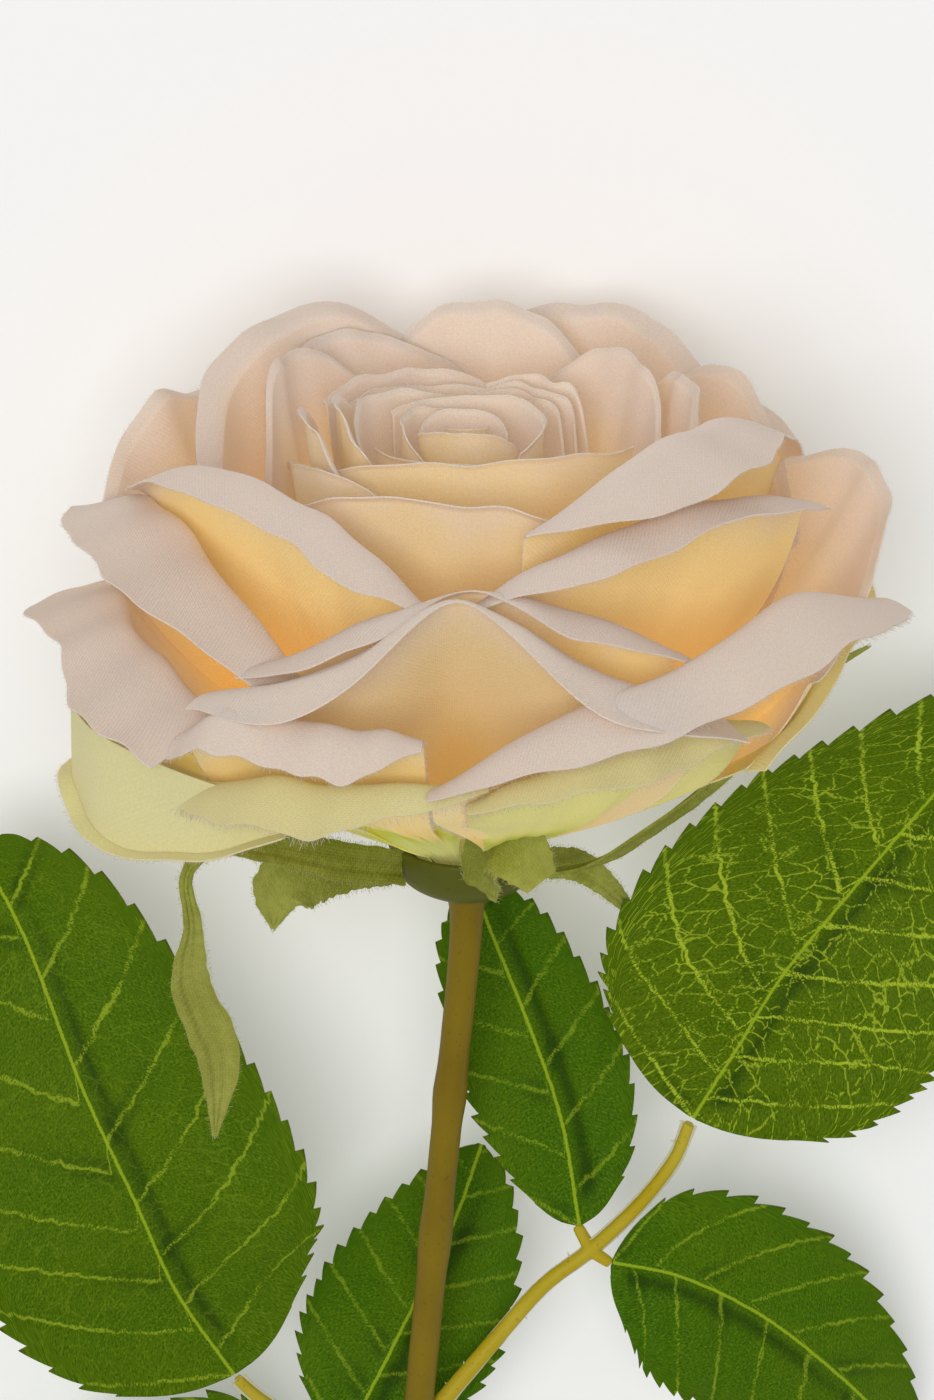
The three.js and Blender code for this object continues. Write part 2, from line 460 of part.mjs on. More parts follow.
// The lowest line that touches both the petals and the cut end of the stem is the surface it lies on.
function restingTilt() {
  let steepest = -Infinity;
  for (const mesh of rose.children.filter(({ name }) => name.startsWith('petal'))) {
    const place = mesh.geometry.attributes.position;
    for (let i = 0; i < place.count; i += 1) {
      const drop = -place.getZ(i) - stemRadius;
      steepest = Math.max(steepest, Math.atan2(drop, place.getY(i) + stemLength - stemTop));
    }
  }
  return steepest;
}

rose.rotation.x = restingTilt();
const laid = new THREE.Group();
laid.add(rose);
const box = new THREE.Box3().setFromObject(laid, true);
rose.position.set(-(box.min.x + box.max.x) / 2, -(box.min.y + box.max.y) / 2, -box.min.z);

export default laid;
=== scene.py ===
# %% [markdown]
# # An artificial cut rose, lying down
# A wired rose of pressed cloth and moulded plastic: 44 cloth petals in a plastic hip, five cloth sepals, a
# plastic stem and two leaf sprays. It lies on a pale surface on its lowest petals and its stem's cut end.
#
# The measured model is loaded first and stays still. Each fine piece is then made in place of one of its parts.
# Most follow their part to a few millimetres. The front sepal and about a dozen petals were set again,
# and stand up to 18 mm away from theirs.

# %% Load the measured model
import math

import bpy
import numpy as np
from mathutils import Matrix, Vector


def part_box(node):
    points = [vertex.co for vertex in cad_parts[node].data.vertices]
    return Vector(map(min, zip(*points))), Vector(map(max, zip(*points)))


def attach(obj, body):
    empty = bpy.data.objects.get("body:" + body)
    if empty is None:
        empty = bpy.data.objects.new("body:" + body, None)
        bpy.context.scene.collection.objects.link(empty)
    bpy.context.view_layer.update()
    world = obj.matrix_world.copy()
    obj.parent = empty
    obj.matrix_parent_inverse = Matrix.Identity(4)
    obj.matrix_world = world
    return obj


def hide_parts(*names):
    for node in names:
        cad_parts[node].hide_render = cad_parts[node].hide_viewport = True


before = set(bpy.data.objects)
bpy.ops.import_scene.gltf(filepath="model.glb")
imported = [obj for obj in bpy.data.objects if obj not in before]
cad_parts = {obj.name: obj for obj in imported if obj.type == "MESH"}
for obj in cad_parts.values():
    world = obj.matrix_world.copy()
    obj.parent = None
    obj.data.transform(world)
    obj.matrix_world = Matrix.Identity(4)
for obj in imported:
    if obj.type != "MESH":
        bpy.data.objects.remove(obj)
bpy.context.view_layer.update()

# %% [markdown]
# ## The bloom's own axes
# A flower is easiest to draw standing up: X to its right, Y up the bloom's axis from the foot of the hip, and Z
# towards the side that ends on top. One turn about X then lays it down. The turn and the foot's place are read
# from the hip's box, because a round cup that leans shows its lean in how deep its box is.

# %% From the bloom's axes to the frame
MM = 0.001
HIP_RADIUS, HIP_HEIGHT, HIP_FOOT_RADIUS = 10.2, 6.0, 3.4

hip_low, hip_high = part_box("hip")
lean_down = math.acos((hip_high.z - hip_low.z) / (2 * HIP_RADIUS * MM))
hip_foot = Vector((
    (hip_low.x + hip_high.x) / 2,
    hip_low.y + math.sin(lean_down) * HIP_FOOT_RADIUS * MM,
    (hip_low.z + hip_high.z) / 2 - math.sin(lean_down) * HIP_HEIGHT * MM,
))
turn = np.array(Matrix.Rotation(lean_down, 3, "X"))


def laid(points):
    """Points in the bloom's axes, in millimetres, as points of the frame in metres."""
    return (np.asarray(points, float) * MM) @ turn.T + np.array(hip_foot)


print(f"the bloom leans {math.degrees(lean_down):.2f} degrees from level")

# %% [markdown]
# ## Curves and ripples
# Cut cloth has no straight lines. Every outline here is a smooth curve through a few chosen points, and every
# surface gets slow ripples made of a few sine waves with seeded random phases, so that no two petals match and
# each run gives the same rose.

# %% Curves and ripples


def smooth_through(points, share):
    """A smooth curve through the points, at each share of its course from 0 to 1."""
    points = np.asarray(points, float)
    if points.ndim == 1:
        points = points[:, None]
    ends = np.vstack([2 * points[0] - points[1], points, 2 * points[-1] - points[-2]])
    place = np.clip(share, 0, 1) * (len(points) - 1)
    first = np.minimum(place.astype(int), len(points) - 2)
    t = (place - first)[..., None]
    before, start, end, after = (ends[first + i] for i in range(4))
    way_in, way_out = (end - before) / 2, (after - start) / 2
    return ((2 * t**3 - 3 * t**2 + 1) * start + (t**3 - 2 * t**2 + t) * way_in
            + (3 * t**2 - 2 * t**3) * end + (t**3 - t**2) * way_out)


def ripples(seed, share, waves):
    """A sum of sine waves along a share from 0 to 1, with seeded phases, about 1 high."""
    dice = np.random.default_rng(seed)
    total = np.zeros_like(np.asarray(share, float))
    for wave in waves:
        total += dice.uniform(0.6, 1) * np.sin(2 * math.pi * (wave * share + dice.uniform()))
    return total / math.sqrt(len(waves))


def unit(vectors):
    return vectors / np.maximum(np.linalg.norm(vectors, axis=-1, keepdims=True), 1e-12)


def ease(value, low, high):
    t = np.clip((value - low) / (high - low), 0, 1)
    return t * t * (3 - 2 * t)


# %% [markdown]
# ## A sheet of cloth
# Each petal, sepal and leaflet is one thin sheet. It is worked out as a grid of middle points, and closed into
# a shell: a front, a back and a narrow cut edge all round. The shell keeps marks that the finishes read, such
# as how far a point is along the petal, which face it is on, and how far it is from the cut edge. A UV map in
# metres of cloth carries the weave, so threads keep their width where the cloth curls.

# %% Close a grid into a shell
CLOTH_CORNER, PLASTIC_CORNER = math.radians(55), math.radians(50)


def grid_normals(grid):
    across = np.gradient(grid, axis=1)
    along = np.gradient(grid, axis=0)
    return unit(np.cross(across, along))


def cloth_lengths(grid):
    """How far each grid point lies across and along the sheet, in metres of cloth."""
    step = np.linalg.norm(np.diff(grid, axis=1), axis=2)
    across = np.hstack([np.zeros((len(grid), 1)), np.cumsum(step, axis=1)])
    across -= across[:, -1:] / 2
    step = np.linalg.norm(np.diff(grid, axis=0), axis=2)
    along = np.vstack([np.zeros((1, grid.shape[1])), np.cumsum(step, axis=0)])
    return across * MM, along * MM


def placed(name, data):
    """A new object at the origin, which shows the data as it is."""
    thing = bpy.data.objects.new(name, data)
    bpy.context.scene.collection.objects.link(thing)
    return thing


def shell(name, grid, thickness, marks, hem_from=0.0, lift_back=0):
    """A closed sheet round the grid. marks are grids that become point attributes."""
    rows, columns = grid.shape[:2]
    normals = grid_normals(grid)
    front = grid + normals * (thickness / 2)
    back = grid - normals * np.asarray(thickness / 2 + lift_back)[..., None]
    points = laid(np.vstack([front.reshape(-1, 3), back.reshape(-1, 3)]))
    count = rows * columns
    index = np.arange(count).reshape(rows, columns)
    quads = np.stack([index[:-1, :-1], index[:-1, 1:], index[1:, 1:], index[1:, :-1]], -1).reshape(-1, 4)
    loop = np.concatenate([index[0, :-1], index[:-1, -1], index[-1, :0:-1], index[:0:-1, 0]])
    following = np.roll(loop, -1)
    rim = np.stack([following, loop, loop + count, following + count], -1)
    faces = np.vstack([quads, quads[:, ::-1] + count, rim])
    mesh = bpy.data.meshes.new(name)
    mesh.from_pydata(points.tolist(), [], faces.tolist())
    mesh.shade_smooth()
    mesh.set_sharp_from_angle(angle=CLOTH_CORNER)
    across, along = cloth_lengths(grid)
    cloth = np.tile(np.stack([across.ravel(), along.ravel()], -1), (2, 1))
    corners = np.zeros(len(mesh.loops), np.int32)
    mesh.loops.foreach_get("vertex_index", corners)
    mesh.uv_layers.new(name="cloth").data.foreach_set("uv", cloth[corners].astype(np.float32).ravel())
    on_both_faces = {mark: np.tile(values.ravel(), 2) for mark, values in marks.items()}
    on_both_faces["inner_face"] = np.repeat([0.0, 1.0], count)
    for mark, values in on_both_faces.items():
        mesh.attributes.new(mark, "FLOAT", "POINT").data.foreach_set("value", values.astype(np.float32))
    mark_hem(mesh, index, grid, hem_from)
    return placed(name, mesh)


def mark_hem(mesh, index, grid, hem_from):
    """Marks the cut edge past the foot, and which way the cloth's threads point out of it."""
    start = int(hem_from * (len(grid) - 1))
    path = np.concatenate([index[start:, 0], index[-1, 1:-1], index[:start - 1 if start else None:-1, -1]])
    outward = np.zeros((len(mesh.vertices), 3))
    outward[index[start:, 0]] = unit(grid[start:, 0] - grid[start:, 1])
    outward[index[start:, -1]] = unit(grid[start:, -1] - grid[start:, -2])
    outward[index[-1, :]] = unit(grid[-1] - grid[-2])
    outward = outward @ turn.T
    mesh.attributes.new("thread_way", "FLOAT_VECTOR", "POINT").data.foreach_set(
        "vector", outward.astype(np.float32).ravel())
    edges = np.zeros(len(mesh.edges) * 2, np.int32)
    mesh.edges.foreach_get("vertices", edges)
    edges = np.sort(edges.reshape(-1, 2), axis=1)
    size = len(mesh.vertices)
    wanted = np.sort(np.stack([path[:-1], path[1:]], -1), axis=1)
    hem = np.isin(edges[:, 0].astype(np.int64) * size + edges[:, 1],
                  wanted[:, 0].astype(np.int64) * size + wanted[:, 1])
    mesh.attributes.new("hem", "BOOLEAN", "EDGE").data.foreach_set("value", hem)


# %% [markdown]
# ## Building finishes from nodes
# Every finish is a Principled shader fed by small node groups. A few helpers keep the node code short: they fill
# a node's inputs, add a node, do sums and mixes, and open a new group with named inputs and outputs.

# %% Node helpers


def wire(tree, node, **inputs):
    """Fills inputs, by name or as _ and a number, with a number, a colour or another node's output."""
    for key, value in inputs.items():
        socket = node.inputs[int(key[1:]) if key[0] == "_" else key.replace("_", " ")]
        if isinstance(value, bpy.types.NodeSocket):
            tree.links.new(value, socket)
        else:
            socket.default_value = value
    return node


def add_node(tree, kind, settings=None, **inputs):
    node = tree.nodes.new(kind)
    for setting, value in (settings or {}).items():
        setattr(node, setting, value)
    return wire(tree, node, **inputs)


def calc(tree, operation, a, b=0.0, c=0.0):
    return add_node(tree, "ShaderNodeMath", {"operation": operation}, _0=a, _1=b, _2=c).outputs[0]


def vector_calc(tree, operation, a, b):
    """b is a vector, or for SCALE a number."""
    second = {"_3" if operation == "SCALE" else "_1": b}
    return add_node(tree, "ShaderNodeVectorMath", {"operation": operation}, _0=a, **second).outputs[0]


def noise(tree, place, scale, detail, **more):
    """Soft random values about 0.5. scale is how many lumps there are to a metre."""
    return add_node(tree, "ShaderNodeTexNoise", Vector=place, Scale=scale, Detail=detail, **more).outputs["Fac"]


def blend_colours(tree, factor, a, b, kind="MIX"):
    node = add_node(tree, "ShaderNodeMix", {"data_type": "RGBA", "blend_type": kind}, _0=factor, _6=a, _7=b)
    return node.outputs[2]


def fade(tree, value, low, high, to_low=0.0, to_high=1.0):
    """value from low to high becomes to_low to to_high, smoothly, and stays within them."""
    node = add_node(tree, "ShaderNodeMapRange", {"interpolation_type": "SMOOTHSTEP"},
                    _0=value, _1=low, _2=high, _3=to_low, _4=to_high)
    return node.outputs[0]


def mark_of(tree, name):
    return add_node(tree, "ShaderNodeAttribute", {"attribute_name": name}).outputs["Fac"]


def new_group(name, inputs, outputs):
    tree = bpy.data.node_groups.new(name, "ShaderNodeTree")
    for label, kind, value in inputs:
        socket = tree.interface.new_socket(label, in_out="INPUT", socket_type="NodeSocket" + kind)
        if value is not None:
            socket.default_value = value
    for label, kind in outputs:
        tree.interface.new_socket(label, in_out="OUTPUT", socket_type="NodeSocket" + kind)
    return tree, tree.nodes.new("NodeGroupInput").outputs, tree.nodes.new("NodeGroupOutput").inputs


def new_finish(name):
    material = bpy.data.materials.new(name)
    material.use_nodes = True
    tree = material.node_tree
    return material, tree, tree.nodes["Principled BSDF"]


def use_group(tree, group, **inputs):
    return add_node(tree, "ShaderNodeGroup", {"node_tree": group}, **inputs).outputs


# %% [markdown]
# ## The weave
# Petals, sepals and leaflets are all woven polyester, a plain weave of about three threads to a millimetre.
# Two sets of bands cross, and a checkerboard says which set lies on top. Threads are never even, so the bands
# are bent by a little noise and each thread has its own lightness. One group does this for every cloth here.

# %% The weave group
weave, given, made = new_group(
    "plain weave",
    [("Cloth", "Vector", None), ("Threads per metre", "Float", 3000.0), ("Unevenness", "Float", 0.25)],
    [("Height", "Float"), ("Lightness", "Float")])
wander = add_node(weave, "ShaderNodeTexNoise", Vector=given["Cloth"], Scale=900.0, Detail=2.0).outputs["Color"]
bent = vector_calc(weave, "ADD", given["Cloth"], vector_calc(weave, "SCALE", wander, 0.00025))
counted = vector_calc(weave, "SCALE", bent, given["Threads per metre"])
place = add_node(weave, "ShaderNodeSeparateXYZ", _0=counted).outputs
warp, weft = (calc(weave, "ABSOLUTE", calc(weave, "SINE", calc(weave, "MULTIPLY", way, math.pi)))
              for way in (place[0], place[1]))
over = add_node(weave, "ShaderNodeTexChecker", Vector=counted, Scale=1.0).outputs["Fac"]
top = add_node(weave, "ShaderNodeMix", {"data_type": "FLOAT"}, _0=over, _2=warp, _3=weft).outputs[0]
fuzz = calc(weave, "MULTIPLY", noise(weave, given["Cloth"], 5200.0, 3.0), given["Unevenness"])
slubs = noise(weave, given["Cloth"], 2600.0, 2.0)
weave.links.new(calc(weave, "ADD", top, fuzz), made["Height"])
weave.links.new(fade(weave, calc(weave, "ADD", calc(weave, "MULTIPLY", top, 0.35), slubs), 0.35, 1.1),
                made["Lightness"])

# %% [markdown]
# ## Dye that went on by hand
# The dye on each cloth is blotchy at the scale of a few millimetres. This group gives a slow, soft mask for
# it, from the cloth's own place in space, so that neighbouring petals don't repeat the same blotch.

# %% The blotch group
blotch, given, made = new_group("dye blotches", [("Place", "Vector", None), ("Scale", "Float", 90.0)],
                                [("Mask", "Float")])
broad = noise(blotch, given["Place"], given["Scale"], 4.0, Roughness=0.6)
blotch.links.new(fade(blotch, broad, 0.32, 0.68), made["Mask"])

# %% [markdown]
# ## Petal cloth
# A petal is butter yellow up its inner face, and ivory with a pink cast on the lip that rolls over. Deep in its
# inner face, towards the foot, it turns apricot, which is painted glow: the warm light caught in the folds, put
# into the colour. The guard petals underneath are lime green instead. The marks on the shell say where on the
# petal a point is, and colours are mixed along them. Thin cloth lets light through from its far side, which is
# what makes the folds glow. A petal's body stands in for that by giving out a little of its own colour, most in
# the folds and less towards the rim. Its rolled lip gives out none.

# %% Petal finishes
LIGHT_THROUGH = 0.18
FOOT_COLOUR = (0.62, 0.62, 0.20, 1)
FRAYED_COLOUR = (0.82, 0.70, 0.58, 1)


def petal_finish(name, deep_glow, body, lip, outer, flush, at_rim):
    material, tree, shader = new_finish(name)
    coordinates = tree.nodes.new("ShaderNodeTexCoord").outputs
    place = coordinates["Object"]
    rise, run, inner = mark_of(tree, "rise"), mark_of(tree, "past_crease"), mark_of(tree, "inner_face")
    mask = use_group(tree, blotch, Place=place, Scale=70.0)[0]
    climb = calc(tree, "ADD", rise, calc(tree, "MULTIPLY_ADD", mask, 0.08, -0.04))
    # The colour at the petal's foot is painted glow, for the warm light caught deep in the folds.
    inside = blend_colours(tree, fade(tree, climb, 0.3, 0.72), deep_glow, body)
    inside = blend_colours(tree, fade(tree, climb, 0.62, 0.96), inside, lip)
    outside = blend_colours(tree, fade(tree, climb, 0.3, 0.86), flush, body)
    outside = blend_colours(tree, fade(tree, climb, 0.48, 0.2), outside, FOOT_COLOUR)
    outside = blend_colours(tree, fade(tree, climb, 0.9, 1.08), outside, outer)
    colour = blend_colours(tree, inner, outside, inside)
    colour = blend_colours(tree, fade(tree, run, 0.05, 0.6), colour, lip)
    threads = use_group(tree, weave, Cloth=coordinates["UV"], Threads_per_metre=3100.0)
    tint = add_node(tree, "ShaderNodeMapRange", _0=threads["Lightness"], _3=0.93, _4=1.05).outputs[0]
    grey = add_node(tree, "ShaderNodeCombineColor", _0=tint, _1=tint, _2=tint).outputs[0]
    colour = blend_colours(tree, 1.0, colour, grey, "MULTIPLY")
    frayed = calc(tree, "MULTIPLY", fade(tree, mark_of(tree, "to_edge"), 0.3, 0.0), 0.12)
    colour = blend_colours(tree, frayed, colour, FRAYED_COLOUR)
    height = calc(tree, "MULTIPLY_ADD", noise(tree, place, 420.0, 3.0), 1.6, threads["Height"])
    bump = add_node(tree, "ShaderNodeBump", Strength=0.3, Distance=0.00008, Height=height)
    through = calc(tree, "MULTIPLY", fade(tree, climb, 1.0, 0.55, at_rim), fade(tree, run, 0.4, 0.0))
    wire(tree, shader, Base_Color=colour, Roughness=fade(tree, threads["Lightness"], 0, 1, 0.82, 0.7),
         Normal=bump.outputs[0], Emission_Color=blend_colours(tree, through, (0, 0, 0, 1), colour),
         Emission_Strength=LIGHT_THROUGH, Subsurface_Weight=0.3, Subsurface_Radius=(1.0, 0.62, 0.34),
         Subsurface_Scale=0.0012, Specular_IOR_Level=0.08)
    return material


IVORY = petal_finish(
    "ivory petal cloth", deep_glow=(0.96, 0.62, 0.17, 1), body=(0.93, 0.69, 0.31, 1), lip=(0.79, 0.65, 0.56, 1),
    outer=(0.82, 0.67, 0.51, 1), flush=(0.92, 0.63, 0.22, 1), at_rim=0.4)
BUTTER = petal_finish(
    "butter petal cloth", deep_glow=(0.92, 0.65, 0.26, 1), body=(0.75, 0.57, 0.31, 1), lip=(0.82, 0.68, 0.58, 1),
    outer=(0.74, 0.60, 0.47, 1), flush=(0.80, 0.56, 0.24, 1), at_rim=0.5)
# The lime outer colour, on the guards' undersides near the rim, is darker than the lime cloth: partly its own
# colour and partly painted shade for undersides that lie in shadow.
LIME = petal_finish(
    "lime guard cloth", deep_glow=(0.86, 0.80, 0.10, 1), body=(0.84, 0.76, 0.28, 1), lip=(0.76, 0.69, 0.36, 1),
    outer=(0.56, 0.50, 0.22, 1), flush=(0.46, 0.50, 0.03, 1), at_rim=0.0)

thread_cloth, tree, shader = new_finish("loose threads")
wire(tree, shader, Base_Color=(0.76, 0.66, 0.56, 1), Roughness=0.7)

# %% [markdown]
# ## Frayed hems
# The cloth is cut, not hemmed, so threads come loose all along the edge. Geometry Nodes follow the marked
# edge, put a point every so often, and stand a bent three-sided thread on each, turned outwards with some
# random spread. The tree has its sizes as named inputs, and each piece gets its own seed and length.

# %% A tree and its inputs


def new_tree(name, inputs):
    """An empty Geometry Nodes tree, its sockets by name, what it is given, and what it makes."""
    tree = bpy.data.node_groups.new(name, "GeometryNodeTree")
    sockets = {label: tree.interface.new_socket(label, in_out="INPUT", socket_type="NodeSocket" + kind)
               for label, kind in [("Geometry", "Geometry"), *inputs]}
    tree.interface.new_socket("Geometry", in_out="OUTPUT", socket_type="NodeSocketGeometry")
    return tree, sockets, tree.nodes.new("NodeGroupInput").outputs, tree.nodes.new("NodeGroupOutput").inputs


def made_plain(piece):
    """Turns what a piece's modifiers make into its own plain mesh, and removes them."""
    shown = piece.evaluated_get(bpy.context.evaluated_depsgraph_get())
    mesh = bpy.data.meshes.new_from_object(shown)
    piece.modifiers.clear()
    piece.data = mesh
    return piece


def run_tree(piece, tree, sockets, values):
    modifier = piece.modifiers.new(tree.name, "NODES")
    modifier.node_group = tree
    for label, value in values.items():
        modifier[sockets[label].identifier] = value
    return made_plain(piece)


def random_of(tree, kind, seed, **inputs):
    return add_node(tree, "FunctionNodeRandomValue", {"data_type": kind}, Seed=seed, **inputs).outputs


def turned_to(tree, way):
    """The turn that points a piece's own Z along the way."""
    return add_node(tree, "FunctionNodeAlignRotationToVector", {"axis": "Z"}, Vector=way).outputs[0]


# %% The frayed hem tree
hem_tree, hem_sockets, given, made = new_tree(
    "frayed hem", [("Spacing", "Float"), ("Length", "Float"), ("Thickness", "Float"), ("Spread", "Float"),
                   ("Seed", "Int"), ("Finish", "Material")])
hem = add_node(hem_tree, "GeometryNodeInputNamedAttribute", {"data_type": "BOOLEAN"}, Name="hem")
edge = add_node(hem_tree, "GeometryNodeMeshToCurve", Mesh=given["Geometry"], Selection=hem.outputs[0])
points = add_node(hem_tree, "GeometryNodeResampleCurve", {"mode": "LENGTH"}, Curve=edge.outputs[0],
                  Length=given["Spacing"])
way = add_node(hem_tree, "GeometryNodeInputNamedAttribute", {"data_type": "FLOAT_VECTOR"}, Name="thread_way")
spread = random_of(hem_tree, "FLOAT_VECTOR", given["Seed"], _0=(-1.0, -1.0, -1.0), _1=(1.0, 1.0, 1.0))[0]
spread = vector_calc(hem_tree, "SCALE", spread, given["Spread"])
aim = turned_to(hem_tree, vector_calc(hem_tree, "ADD", way.outputs[0], spread))
reach = random_of(hem_tree, "FLOAT", given["Seed"], _2=0.25, _3=1.0)[1]
size = add_node(hem_tree, "ShaderNodeCombineXYZ", _0=1.0, _1=1.0,
                _2=calc(hem_tree, "MULTIPLY", reach, given["Length"]))
bend = add_node(hem_tree, "GeometryNodeCurveQuadraticBezier", Resolution=3, Start=(0.0, 0.0, -0.2),
                Middle=(0.0, 0.0, 0.4), End=(0.00018, 0.00006, 1.0))
ring = add_node(hem_tree, "GeometryNodeCurvePrimitiveCircle", Resolution=3, Radius=given["Thickness"])
thread = add_node(hem_tree, "GeometryNodeCurveToMesh", Curve=bend.outputs[0], Profile_Curve=ring.outputs[0],
                  Fill_Caps=True)
threads = add_node(hem_tree, "GeometryNodeInstanceOnPoints", Points=points.outputs[0],
                   Instance=thread.outputs[0], Rotation=aim, Scale=size.outputs[0])
threads = add_node(hem_tree, "GeometryNodeRealizeInstances", Geometry=threads.outputs[0])
threads = add_node(hem_tree, "GeometryNodeSetMaterial", Geometry=threads.outputs[0], Material=given["Finish"])
both = add_node(hem_tree, "GeometryNodeJoinGeometry")
hem_tree.links.new(given["Geometry"], both.inputs[0])
hem_tree.links.new(threads.outputs[0], both.inputs[0])
hem_tree.links.new(both.outputs[0], made[0])


def fray(piece, length, seed, spacing=0.5, thickness=0.03, spread=0.55, finish=thread_cloth):
    """Loose threads along a piece's marked hem. Lengths are in millimetres."""
    return run_tree(piece, hem_tree, hem_sockets, {
        "Spacing": spacing * MM, "Length": length * MM, "Thickness": thickness * MM, "Spread": spread,
        "Seed": seed, "Finish": finish})

# %% [markdown]
# ## Petals
# A petal rises from a narrow foot in the hip, bellies outwards, and comes up to a crease where the cloth turns
# over into a lip. Each line below gives the crease at five places from the petal's left edge to its right: the
# azimuth in degrees, 0 on top and 90 to the right, the distance from the bloom's axis, and the height. Then
# come the lip's length, the crease's lean from the axis, and how far the lip turns past it, in degrees.
#
# The real petals are pressed in a heated mould and pulled over by hand. Here the pull is a curve: the cloth
# turns fast just past the crease and then slows down, and its free edge lifts back a little.

